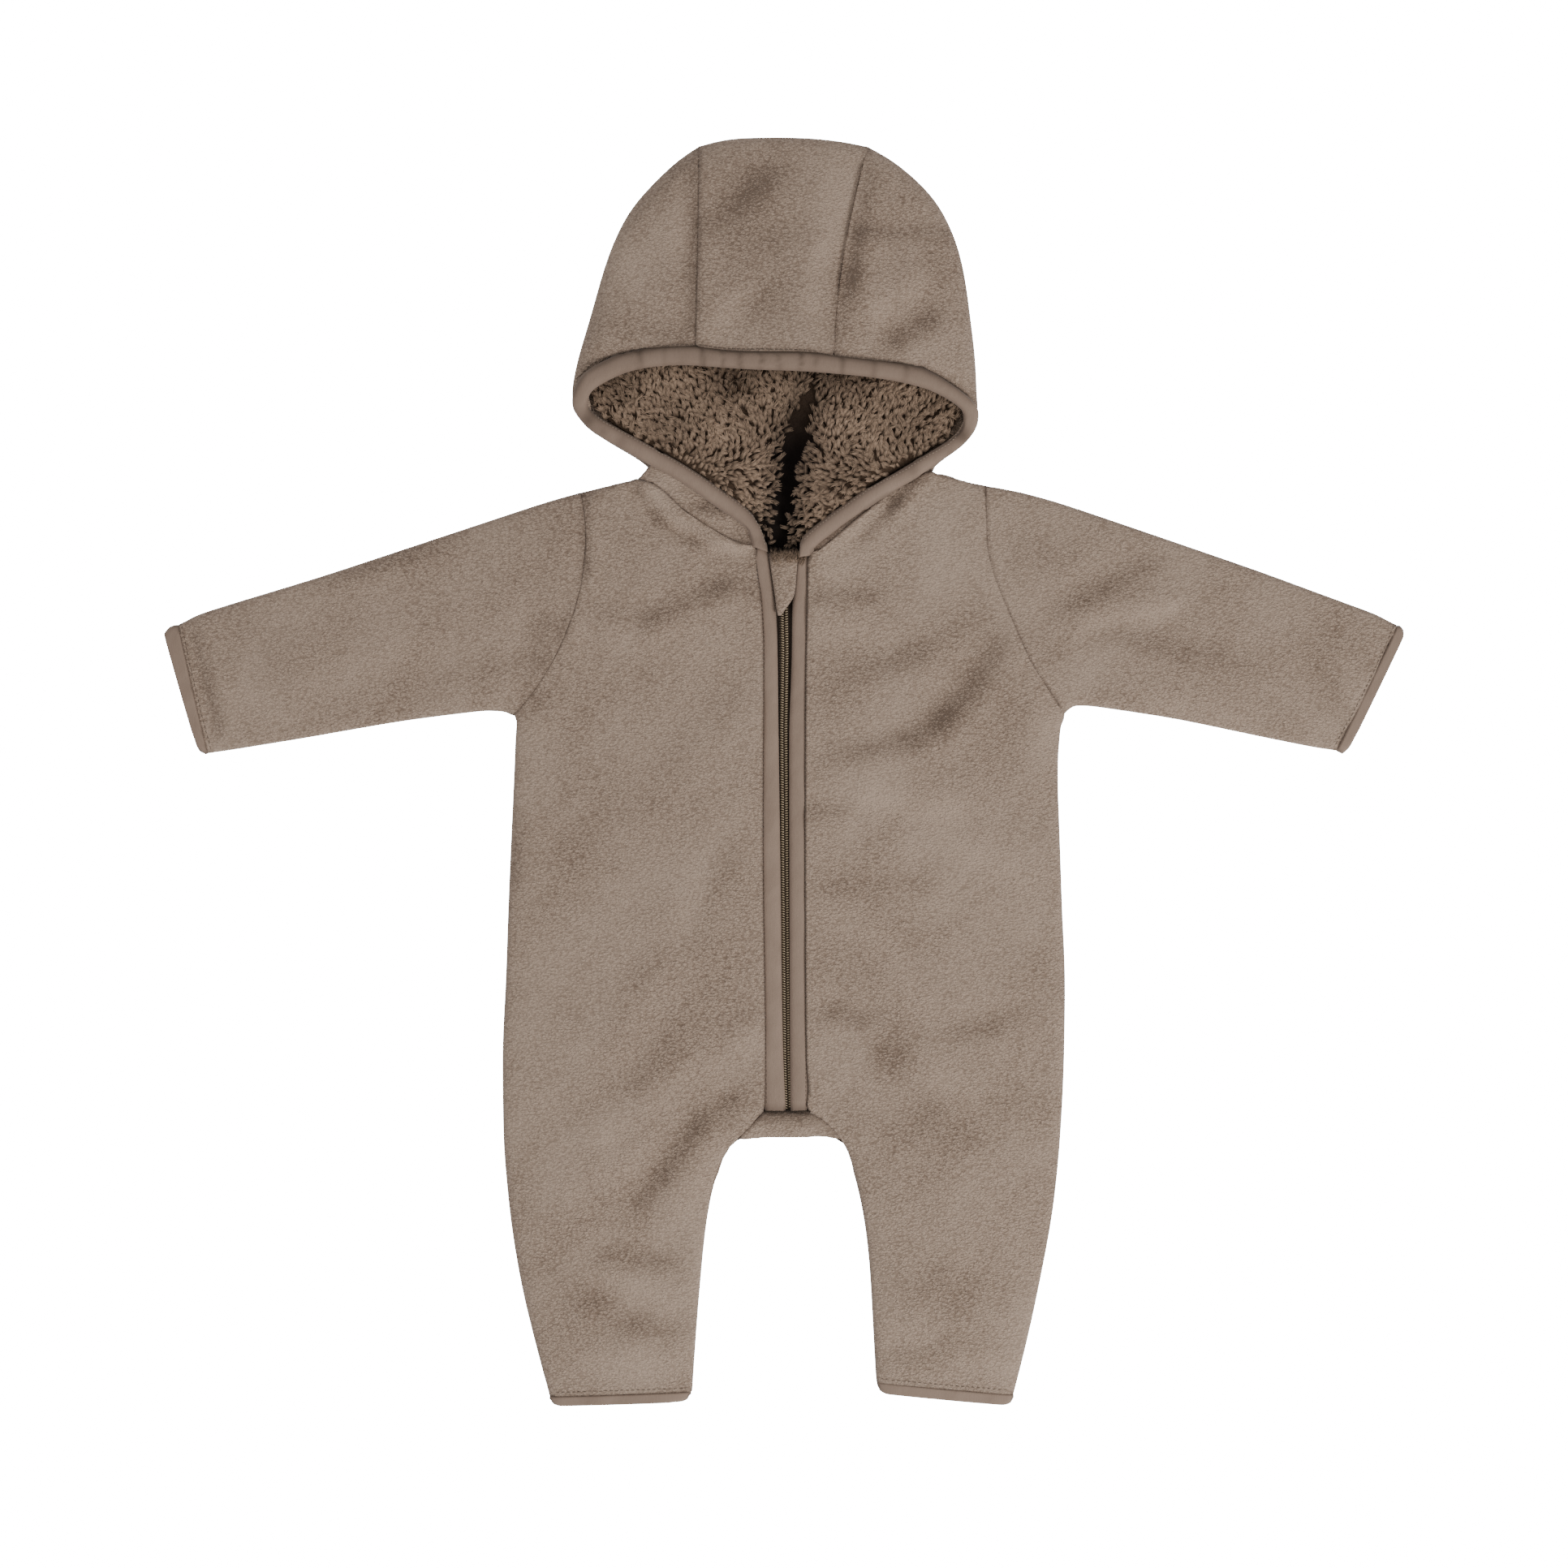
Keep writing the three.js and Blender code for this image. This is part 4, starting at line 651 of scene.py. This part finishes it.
# its nips, painted as shade, mm: x, y, half width and depth; a depth below zero takes painted shade away and
# keeps the join with the zip strip pale
pinches = [(-106, 190, 4.5, 0.6), (-98, 184, 3, 0.35), (97, 181, 4.5, 0.6), (90, 172, 3, 0.3),
           (-88, 178, 3, 0.25), (70, 162, 3, 0.25), (-14, 124, 3, 0.2)]
stripJoin = (-12, 119, 7, -0.6)
# its inner edges, left and right, and its outer edge over the brow, mm
innerEdges = [
    [(-104.6, 196), (-99.0, 190.6), (-85.4, 183), (-66.6, 172.8), (-52, 164.4), (-38.5, 155.3),
     (-19.0, 141.2), (-12, 131), (-9.6, 121)],
    [(95.9, 186.4), (89.6, 178.4), (77.2, 171), (63, 162.6), (45.8, 153.3), (29.6, 141.8), (17.4, 132.9),
     (9.6, 125)],
]
rimLine = [(-114.6, 204), (-107.6, 216.6), (-87.5, 225.7), (-64.3, 229.2), (-48.2, 229.5), (-31, 226.8),
           (-10.3, 226.4), (12.8, 226.2), (28.3, 224.2), (52, 221.6), (74.6, 218), (90, 209.4), (102, 200.4)]
# painted shade on the binding over the brow, where it rolls down to the stitched seam, and along its inner
# edge: how dark, and its half width there, metres
bindingShade = {"brow": 0.20, "heights": (0.200, 0.222), "inner": 0.42, "innerHalf": 0.0026}
# painted shade in the grooves of seams: pieces, line in mm, how dark and half width in metres
shadedSeamLines = [
    (("hood_side_left", "hood_centre", "hood_side_right", "face_binding"), rimLine, 0.42, 0.0024),
    (("crotch_gusset", "zip_strip_left", "zip_strip_right"), [(-50, -184.5), (50, -184.5)], 0.85, 0.0013),
]
# painted shade that grows with y, under the opening at the top of the chin flap and at the top of the gusset,
# metres: piece, how dark, and where it begins and is full
shadedEnds = [("crotch_gusset", 0.55, (-0.194, -0.186)), ("chin_flap", 0.85, (0.111, 0.119))]


def awayFrom(points, line):
    # distance in plan to a line given in mm
    nearest = np.full(len(points), 1.0)
    corners = [np.array(corner, float) * mm for corner in line]
    for start, end in zip(corners, corners[1:]):
        step = end - start
        share = np.clip(((points[:, :2] - start) @ step) / (step @ step), 0, 1)
        nearest = np.minimum(nearest, np.linalg.norm(points[:, :2] - start - share[:, None] * step, axis=1))
    return nearest


def addPaintedShade(nodeName, shade):
    # adds painted shade; the shade is a function of the piece's points
    layer = cloth[nodeName].data.attributes["paintedShade"]
    values = np.empty(len(layer.data), np.float32)
    layer.data.foreach_get("value", values)
    values = np.clip(values + shade(readVectors(cloth[nodeName].data)), 0, 0.9)
    layer.data.foreach_set("value", values.astype(np.float32))


def shadeBinding(points):
    # painted shade: over the brow, in the pleats and nips, and along the inner edges
    upper = smooth(*bindingShade["heights"], points[:, 1])
    mask = bindingShade["brow"] * upper
    for place, half, deep in pleats:
        mask += deep * upper * bell(points[:, 0] - place * mm, half * mm)
    for values in pinches:
        mask += nip(points, *values)
    for line in innerEdges:
        mask += bindingShade["inner"] * (1 - upper) * bell(awayFrom(points, line), bindingShade["innerHalf"])
    return mask


for nodeName in ("face_binding", "zip_strip_left"):
    addPaintedShade(nodeName, lambda points: nip(points, *stripJoin))
addPaintedShade("face_binding", shadeBinding)
for nodeNames, line, deep, half in shadedSeamLines:
    for nodeName in nodeNames:
        addPaintedShade(nodeName, lambda points: deep * bell(awayFrom(points, line), half))
for nodeName, deep, heights in shadedEnds:
    addPaintedShade(nodeName, lambda points: deep * smooth(*heights, points[:, 1]))
print("seams shaded")


def newPiece(name, points, faces, material):
    data = bpy.data.meshes.new(name)
    data.from_pydata(points, [], faces)
    for face in data.polygons:
        face.use_smooth = True
    data.materials.append(materials[material])
    piece = addObject(name, data)
    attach(piece, "root")
    return piece


def surfaceOf(*nodeNames):
    return treeOf([cloth.get(nodeName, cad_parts[nodeName]) for nodeName in nodeNames])


def topOf(tree, x, y, fallback=None):
    hit = tree.ray_cast(Vector((x, y, 0.1)), Vector((0, 0, -1)))
    if hit[0] is None:
        return fallback
    return hit[0].z


# curly pile inside the hood: locks of blunt, wavy strands, metres; top and foot of each half
pile = {
    "spacing": 0.00245, "strands": 6, "length": 0.0052, "rise": 0.0020, "lockRadius": 0.00105,
    "strandRadius": 0.00021, "creaseHalf": 0.0095, "sides": 5, "strandSides": 3, "sunk": 0.0007, "seed": 51,
    "paler": 0.8, "lumps": 0.22, "bend": 0.0010, "swirl": 0.38, "stray": 0.3,
    "crown": (0.233, 0.197), "throat": (0.1965, 0.118),
}
creaseLine = [(0.0165, 0.236), (0.0150, 0.206), (0.0060, 0.179), (0.0015, 0.154), (-0.0020, 0.134),
              (-0.0020, 0.108)]
# place along a lock and its thickness there
lockRings = ((0.0, 0.55), (0.2, 0.95), (0.45, 1.05), (0.68, 0.85), (0.88, 0.5))
strandRings = ((0.0, 0.9), (0.35, 1.0), (0.70, 0.9), (0.93, 0.6))
upward = np.array([0, 0, 1.0])


def onLine(line, y, pastEnds=True):
    # x of a line in plan at y, its points running down; past its ends the x of the end, or None
    if not pastEnds and not line[0][1] >= y >= line[-1][1]:
        return None
    for (x0, y0), (x1, y1) in zip(line, line[1:]):
        if y >= y1:
            return x0 + (x1 - x0) * unit((y0 - y) / (y0 - y1))
    return line[-1][0]


def pileDirection(x, y, draw):
    # tips turn to the crease near the throat and fan outwards higher up, in slow swirls
    towards = -1 if x > onLine(creaseLine, y) else 1
    fan = Vector(((x - 0.004) * 0.8, y - 0.105)).normalized()
    inward = Vector((towards, -0.35)).normalized()
    share = unit((y - 0.150) / 0.035)
    lean = inward * (1 - share) + fan * share
    swirl = pile["swirl"] * math.sin(x * 150 + 2.1) * math.cos(y * 115 + 0.8)
    return math.atan2(lean.y, lean.x) + swirl + draw.normal(0, pile["stray"])


def addTaper(mesh, path, rings, radius, side, sides, twist, tone, depth):
    # closed tapering tube along its path, paler towards its tip: painted shade at its root and painted light
    # at its tip; its cross-section a little lumpy
    points, faces, tones, depths = mesh
    start = len(points)
    for stop, thick in rings:
        centre = path(stop)
        for corner in range(sides):
            beta = 2 * math.pi * corner / sides + twist
            lump = radius * thick * (1 + pile["lumps"] * math.sin(corner * 2.4 + twist * 3))
            points.append(tuple(centre + side * lump * math.cos(beta) + upward * lump * math.sin(beta)))
            tones.append(tone + pile["paler"] * stop)
            depths.append(depth * (1 - 0.7 * stop))
    points.append(tuple(path(1.0)))
    tones.append(tones[-1] + 0.1)
    depths.append(depths[-1])
    for ring in range(len(rings) - 1):
        for corner in range(sides):
            a = start + ring * sides + corner
            b = start + ring * sides + (corner + 1) % sides
            faces.append((a, b, b + sides, a + sides))
    last = start + (len(rings) - 1) * sides
    for corner in range(sides):
        faces.append((last + corner, last + (corner + 1) % sides, len(points) - 1))


def makeLock(base, angle, length, rise, tone, depth, draw, mesh, size=1.0):
    lean = np.array([math.cos(angle), math.sin(angle), 0])
    side = np.array([-lean[1], lean[0], 0])
    bend = draw.normal(0, pile["bend"])
    turn = draw.uniform(2.6, 4.4)

    def place(stop, reach, aside, above):
        wave = bend * math.sin(stop * turn)
        lift = rise * math.sin(math.pi * 0.62 * stop ** 0.85) + above
        return base + lean * reach * stop + upward * lift + side * (wave + aside)

    def lockPath(stop):
        return place(stop, length, 0, 0)

    radius = pile["lockRadius"] * draw.uniform(0.8, 1.15) * size
    twist = draw.uniform(0, 6.28)
    addTaper(mesh, lockPath, lockRings, radius, side, pile["sides"], twist, tone - 0.12, depth)
    for strand in range(pile["strands"]):
        # fine strands lie on the lock and stray a little beyond its tip
        spread = math.pi * (strand + draw.uniform(0, 1)) / pile["strands"]
        aside, above = radius * 1.05 * math.cos(spread), radius * 0.85 * math.sin(spread)
        own = length * draw.uniform(0.9, 1.22)
        shade = tone + 0.06 + draw.normal(0, 0.10)
        stray = draw.normal(0, 0.25)

        def strandPath(stop):
            drift = aside * (1 - 0.25 * stop) + stray * radius * stop
            return place(0.15 + 0.85 * stop, own, drift, above * (1 - 0.35 * stop))

        addTaper(mesh, strandPath, strandRings, pile["strandRadius"], side, pile["strandSides"], spread,
                 shade - 0.05, depth)


# plan of the pile that shows, mm: its left and its right limit
pileRim = [
    [(-60, 235), (-89, 223.5), (-104.5, 211), (-107.5, 200), (-105.7, 192), (-88.8, 183), (-66.8, 171.6),
     (-53.2, 164.7), (-39.8, 155.3), (-21.4, 142.3), (-12.9, 129.5), (-10, 118)],
    [(60, 235), (83.5, 215), (95.5, 205), (98, 198), (97, 189), (88.9, 178.7), (64.7, 163.7), (46.7, 153.7),
     (29.8, 141.8), (16.4, 131.4), (9.8, 123), (8, 118)],
]


def creaseShade(x, y):
    # painted shade: 1 in the dark of the crease, fading out beside it and towards the crown
    away = abs(x - onLine(creaseLine, y))
    deep = unit((0.214 - y) / 0.040)
    half = pile["creaseHalf"] * (0.8 + 0.4 * deep)
    return (0.35 + 0.65 * deep) * float(smooth(half * 1.8, half * 0.7, np.array(away)))


# lighter and darker parts of the pile, mm: place, radius and tone
pileTones = [(-27, 206, 9, -0.22), (-6, 199, 9, 0.12), (-58, 213, 14, 0.06), (-36, 181, 12, 0.12),
             (-20, 160, 9, 0.14), (-90, 206, 12, -0.10), (31, 216, 9, -0.16), (26, 186, 9, 0.14),
             (50, 182, 12, 0.12), (62, 205, 14, 0.08), (84, 197, 10, -0.08), (12, 150, 8, 0.10),
             (-75, 190, 9, 0.10)]


def pileTone(x, y, toRim, draw):
    tone = 0.11 + 0.08 * math.sin(x * 95 + 1.3) * math.cos(y * 120)
    # painted shade under the middle of the brow, and painted light towards the rim
    underBrow = float(smooth(0.185, 0.225, np.array(y)))
    tone -= 0.16 * float(smooth(0.055, 0.010, np.array(abs(x - 0.012)))) * underBrow
    tone += 0.16 * (1 - min(toRim / 0.014, 1)) + draw.normal(0, 0.05)
    for tx, ty, wide, amount in pileTones:
        tone += amount * math.exp(-((x - tx * mm) ** 2 + (y - ty * mm) ** 2) / (wide * mm) ** 2)
    return tone


def pilePiece(name, mesh):
    points, faces, tones, depths = mesh
    piece = newPiece(name, points, faces, "pile")
    writeMask(piece, "tone", np.array(tones))
    writeMask(piece, "depth", np.array(depths))
    print(name, len(faces), "faces")
    return piece


def makePileSide(side, name, top, foot):
    draw = np.random.default_rng(pile["seed"] + len(name) + (1 if side == "left" else 2))
    tree = surfaceOf("hood_lining")
    mesh = ([], [], [], [])
    leftRim, rightRim = ([(x * mm, y * mm) for x, y in line] for line in pileRim)
    step = pile["spacing"]
    row = 0
    height = top
    while height > foot:
        across = -0.110 + (row % 2) * step / 2
        while across < 0.105:
            x, y = across + draw.normal(0, step * 0.25), height + draw.normal(0, step * 0.25)
            across += step
            middle = onLine(creaseLine, y)
            if (x < middle) != (side == "left"):
                continue
            left, right = onLine(leftRim, y, False), onLine(rightRim, y, False)
            if left is None or right is None or not left < x < right:
                continue
            # the crease stays bare, and is narrower at the throat
            deep, narrow = unit((0.215 - y) / 0.035), unit((0.150 - y) / 0.020)
            if abs(x - middle) < pile["creaseHalf"] * (0.9 * deep - 0.25 * narrow):
                continue
            z = topOf(tree, x, y)
            if z is None:
                continue
            toRim = min(x - left, right - x)
            small = 0.62 + 0.38 * min(toRim / 0.012, 1)
            tone = pileTone(x, y, toRim, draw)
            makeLock(np.array([x, y, z - pile["sunk"]]), pileDirection(x, y, draw),
                     pile["length"] * small * draw.uniform(0.8, 1.2),
                     pile["rise"] * small * draw.uniform(0.75, 1.2), tone, creaseShade(x, y), draw, mesh)
        height -= step * 0.87
        row += 1
    return pilePiece(name, mesh)


pilePieces = []
for side in ("left", "right"):
    pilePieces.append(makePileSide(side, f"pile-{side}-crown", *pile["crown"]))
    pilePieces.append(makePileSide(side, f"pile-{side}", *pile["throat"]))
liningPoints = readVectors(cloth["hood_lining"].data)
# the lining under the locks is nearly the dark root colour: painted shade between the locks
writeMask(cloth["hood_lining"], "tone", np.full(len(liningPoints), 0.05))
# painted shade in the crease of the lining
writeMask(cloth["hood_lining"], "depth", np.array([creaseShade(x, y) for x, y, z in liningPoints]))


# short fuzz of the lining that hangs over the top of the chin flap, metres; it carries painted deep shade, a
# little less in each row further down
fringe = {"rows": (0.1214, 0.1203, 0.1192, 0.1181), "across": (-0.0072, 0.0090, 0.0010), "rowShift": 0.0006,
          "over": 0.1170, "height": 0.0125, "sunk": 0.0012, "length": 0.0040, "rise": 0.0012, "size": 0.5,
          "depth": 0.95, "paler": 0.15}


def makeFringe():
    draw = np.random.default_rng(pile["seed"] + 3)
    tree = surfaceOf("chin_flap", "zip_strip_left", "zip_strip_right")
    mesh = ([], [], [], [])
    for row, y in enumerate(fringe["rows"]):
        for place in np.arange(*fringe["across"]):
            x = place + draw.normal(0, 0.0003) + row * fringe["rowShift"]
            z = topOf(tree, x, fringe["over"], fringe["height"])
            base = np.array([x, y + draw.normal(0, 0.0004), z - fringe["sunk"]])
            makeLock(base, -math.pi / 2 + draw.normal(0, 0.25), fringe["length"] * draw.uniform(0.6, 1.4),
                     fringe["rise"], 0.0, fringe["depth"] - fringe["paler"] * row, draw, mesh, fringe["size"])
    return pilePiece("flap-fringe", mesh)


extras = {"hood_lining": [*pilePieces, makeFringe()]}
print("pile ready")


# zip: two rows of coil turns on the tape, up to the slider, metres
zipCoil = {"pitch": 0.00135, "apart": 0.0023, "foot": -0.1825, "head": 0.1000, "wide": 0.0021,
           "thick": 0.0010, "high": 0.0012, "slant": 0.0002, "lift": 0.0002, "tape": 0.0064}
zipLine = [(-0.00075, 0.119), (-0.00025, 0.092), (0.00025, 0.066), (-0.0003, 0.022), (0.00025, -0.048),
           (0.0012, -0.154), (0.00205, -0.184)]
bead = {"rings": 4, "sides": 6}


def addBead(points, faces, centre, along, across, up):
    # rounded bead: half lengths along, across and up
    rings, sides = bead["rings"], bead["sides"]
    start = len(points)
    points.append(tuple(centre - along))
    for ring in range(1, rings):
        angle = math.pi * ring / rings
        for corner in range(sides):
            beta = 2 * math.pi * corner / sides
            points.append(tuple(centre - along * math.cos(angle)
                                + (across * math.cos(beta) + up * math.sin(beta)) * math.sin(angle)))
    points.append(tuple(centre + along))
    last = len(points) - 1
    for corner in range(sides):
        after = (corner + 1) % sides
        faces.append((start, start + 1 + after, start + 1 + corner))
        for ring in range(rings - 2):
            low = start + 1 + ring * sides
            faces.append((low + corner, low + after, low + sides + after, low + sides + corner))
        low = start + 1 + (rings - 2) * sides
        faces.append((low + corner, low + after, last))


def makeZipCoil():
    tree = surfaceOf("zip_tape")
    points, faces = [], []
    count = int((zipCoil["head"] - zipCoil["foot"]) / zipCoil["pitch"])
    across, up = np.array([0, zipCoil["thick"] / 2, 0]), np.array([0, 0, zipCoil["high"] / 2])
    for index in range(count):
        y = zipCoil["foot"] + index * zipCoil["pitch"]
        middle = onLine(zipLine, y)
        for side in (-1, 1):
            place = y + (zipCoil["pitch"] / 2 if side > 0 else 0)
            z = topOf(tree, middle, place, zipCoil["tape"]) + zipCoil["lift"]
            centre = np.array([middle + side * zipCoil["apart"] / 2, place, z])
            turn = np.array([zipCoil["wide"] / 2, side * zipCoil["slant"], 0])
            addBead(points, faces, centre, turn, across, up)
    return newPiece("zip-coil", points, faces, "teeth")


extras["zip_tape"] = [makeZipCoil()]
print("zip ready")


# kinds of stitch, mm: thread, slot, length, gap and thickness
stitchKinds = {
    "rim": ("thread", "binding", 2.2, 0.35, 0.55), "lining": ("paleThread", "pile", 1.0, 0.9, 0.42),
    "hem": ("thread", "binding", 2.0, 0.9, 0.4), "coil": ("thread", "binding", 0.8, 0.55, 0.4),
    # the crotch kind is near-black overlapping beads: a painted shadow in the crotch slot, not stitches
    "crotch": ("tape", "binding", 1.5, -0.35, 0.95), "front": ("paleThread", "binding", 1.3, 1.0, 0.34),
    "stripRight": ("thread", "binding", 1.6, 0.8, 0.34), "stripLeft": ("thread", "binding", 1.6, 0.8, 0.30),
}
# rows of stitches: kind, the pieces that they are sewn on, the main one first, and the line in plan, mm
seamRows = {
    # dark, nearly closed stitches over the rim: the stitched seam and the painted shadow in its groove
    "rim-stitches-and-shadow": ("rim", ("hood_centre", "hood_side_left", "hood_side_right"), [
        (-112.6, 213), (-101.6, 221.8), (-85.8, 226.6), (-70.1, 229.4), (-48.1, 230.0), (-29.3, 227.9),
        (8.4, 227.2), (26, 224.6), (47.7, 222.6), (68.2, 219.6), (84.5, 213.6), (100, 203.6)]),
    "lining-stitches-left": ("lining", ("face_binding",), [
        (-104.6, 196.2), (-99.3, 190.2), (-85.9, 182.5), (-67.4, 172.4), (-52.6, 163.8), (-39, 154.7),
        (-19.8, 140.7), (-12.8, 131.0), (-10.2, 121)]),
    "lining-stitches-right": ("lining", ("face_binding",), [
        (96.2, 186), (89.9, 178), (77.6, 170.6), (63.4, 162.1), (46.1, 152.8), (29.9, 141.3), (17.9, 132.4),
        (10, 124.6)]),
    "cuff-stitches-left": ("hem", ("sleeve_left",), [
        (-326.8, 78.6), (-322, 57), (-316.4, 33), (-310.9, 11.6)]),
    "cuff-stitches-right": ("hem", ("sleeve_right",), [
        (330.4, 78.6), (320.6, 57), (308.6, 33), (297.9, 13)]),
    "hem-stitches-left": ("hem", ("front_left",), [
        (-52.5, -334.3), (-75, -335.0), (-100, -335.8), (-124.5, -336.6)]),
    "hem-stitches-right": ("hem", ("front_right",), [
        (52.4, -329.2), (75, -331.2), (100, -333.4), (121.5, -335.3)]),
    "coil-stitches": ("coil", ("zip_tape",), [
        (-2.9, 96), (-2.5, 66), (-2.9, 22), (-2.5, -48), (-1.9, -130), (-1.4, -160)]),
    # dark overlapping beads along the crotch slot: a painted shadow in the slot
    "crotch-slot-shadow": ("crotch", ("crotch_gusset", "zip_strip_left", "zip_strip_right"), [
        (-11.6, -184.6), (-6, -184.2), (2, -184.5), (9, -184.1), (15.8, -184.4)]),
    "strip-stitches-right": ("stripRight", ("zip_strip_right",), [
        (12.3, 113), (12.2, 92), (11.6, 66), (11.2, 22), (11.0, -48), (11.6, -154), (11.6, -182)]),
    "front-stitches-right": ("front", ("front_right",), [
        (15.0, 113), (14.8, 92), (14.2, 66), (13.8, 22), (13.6, -48), (14.2, -154), (14.6, -176)]),
    "strip-stitches-left": ("stripLeft", ("zip_strip_left",), [
        (-15.4, 114), (-12.2, 92), (-10.9, 66), (-11.2, 22), (-11.3, -48), (-9.9, -154), (-9.7, -182)]),
}
stitchDraw = {"seed": 60, "wander": 0.00008, "lift": 0.12}


def smoothLine(line, step):
    # evenly spaced points on a smooth line through the given ones
    anchors = [np.array(point, float) * mm for point in line]
    anchors = [2 * anchors[0] - anchors[1], *anchors, 2 * anchors[-1] - anchors[-2]]
    dense = []
    for before, start, end, after in zip(anchors, anchors[1:], anchors[2:], anchors[3:]):
        for share in np.linspace(0, 1, 24, endpoint=False):
            bend = ((2 * before - 5 * start + 4 * end - after) * share ** 2
                    + (3 * start - before - 3 * end + after) * share ** 3)
            dense.append(start + 0.5 * ((end - before) * share + bend))
    dense.append(anchors[-2])
    dense = np.array(dense)
    lengths = np.concatenate([[0], np.cumsum(np.linalg.norm(np.diff(dense, axis=0), axis=1))])
    places = np.arange(0, lengths[-1], step)
    return np.stack([np.interp(places, lengths, dense[:, axis]) for axis in range(2)], axis=1)


def makeStitches(name, kind, on, line, seed):
    draw = np.random.default_rng(seed)
    tree = surfaceOf(*on)
    thread, slotName, *sizes = stitchKinds[kind]
    long, gap, thick = (size * mm for size in sizes)
    ends = smoothLine(line, (long + gap) / 2)
    points, faces = [], []
    for start, end in zip(ends[::2], ends[1::2]):
        middle = (start + end) / 2 + draw.normal(0, stitchDraw["wander"], 2)
        along = (end - start) / np.linalg.norm(end - start)
        low = topOf(tree, *(middle - along * long / 2))
        high = topOf(tree, *(middle + along * long / 2))
        if low is None or high is None:
            continue
        slope = np.array([along[0] * long / 2, along[1] * long / 2, (high - low) / 2])
        side = np.array([-along[1], along[0], 0]) * thick / 2
        centre = np.array([middle[0], middle[1], (low + high) / 2 + thick * stitchDraw["lift"]])
        addBead(points, faces, centre, slope, side, np.array([0, 0, thick / 2]))
    return newPiece(name, points, faces, thread)


for index, (name, (kind, on, line)) in enumerate(seamRows.items()):
    row = makeStitches(name, kind, on, line, stitchDraw["seed"] + index)
    extras.setdefault(on[0], []).append(row)
print("stitches ready")


# the tape and the slider keep the form that they have
for nodeName, finish in (("zip_tape", "tape"), ("zip_slider", "brass")):
    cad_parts[nodeName].data.materials[0] = materials[finish]
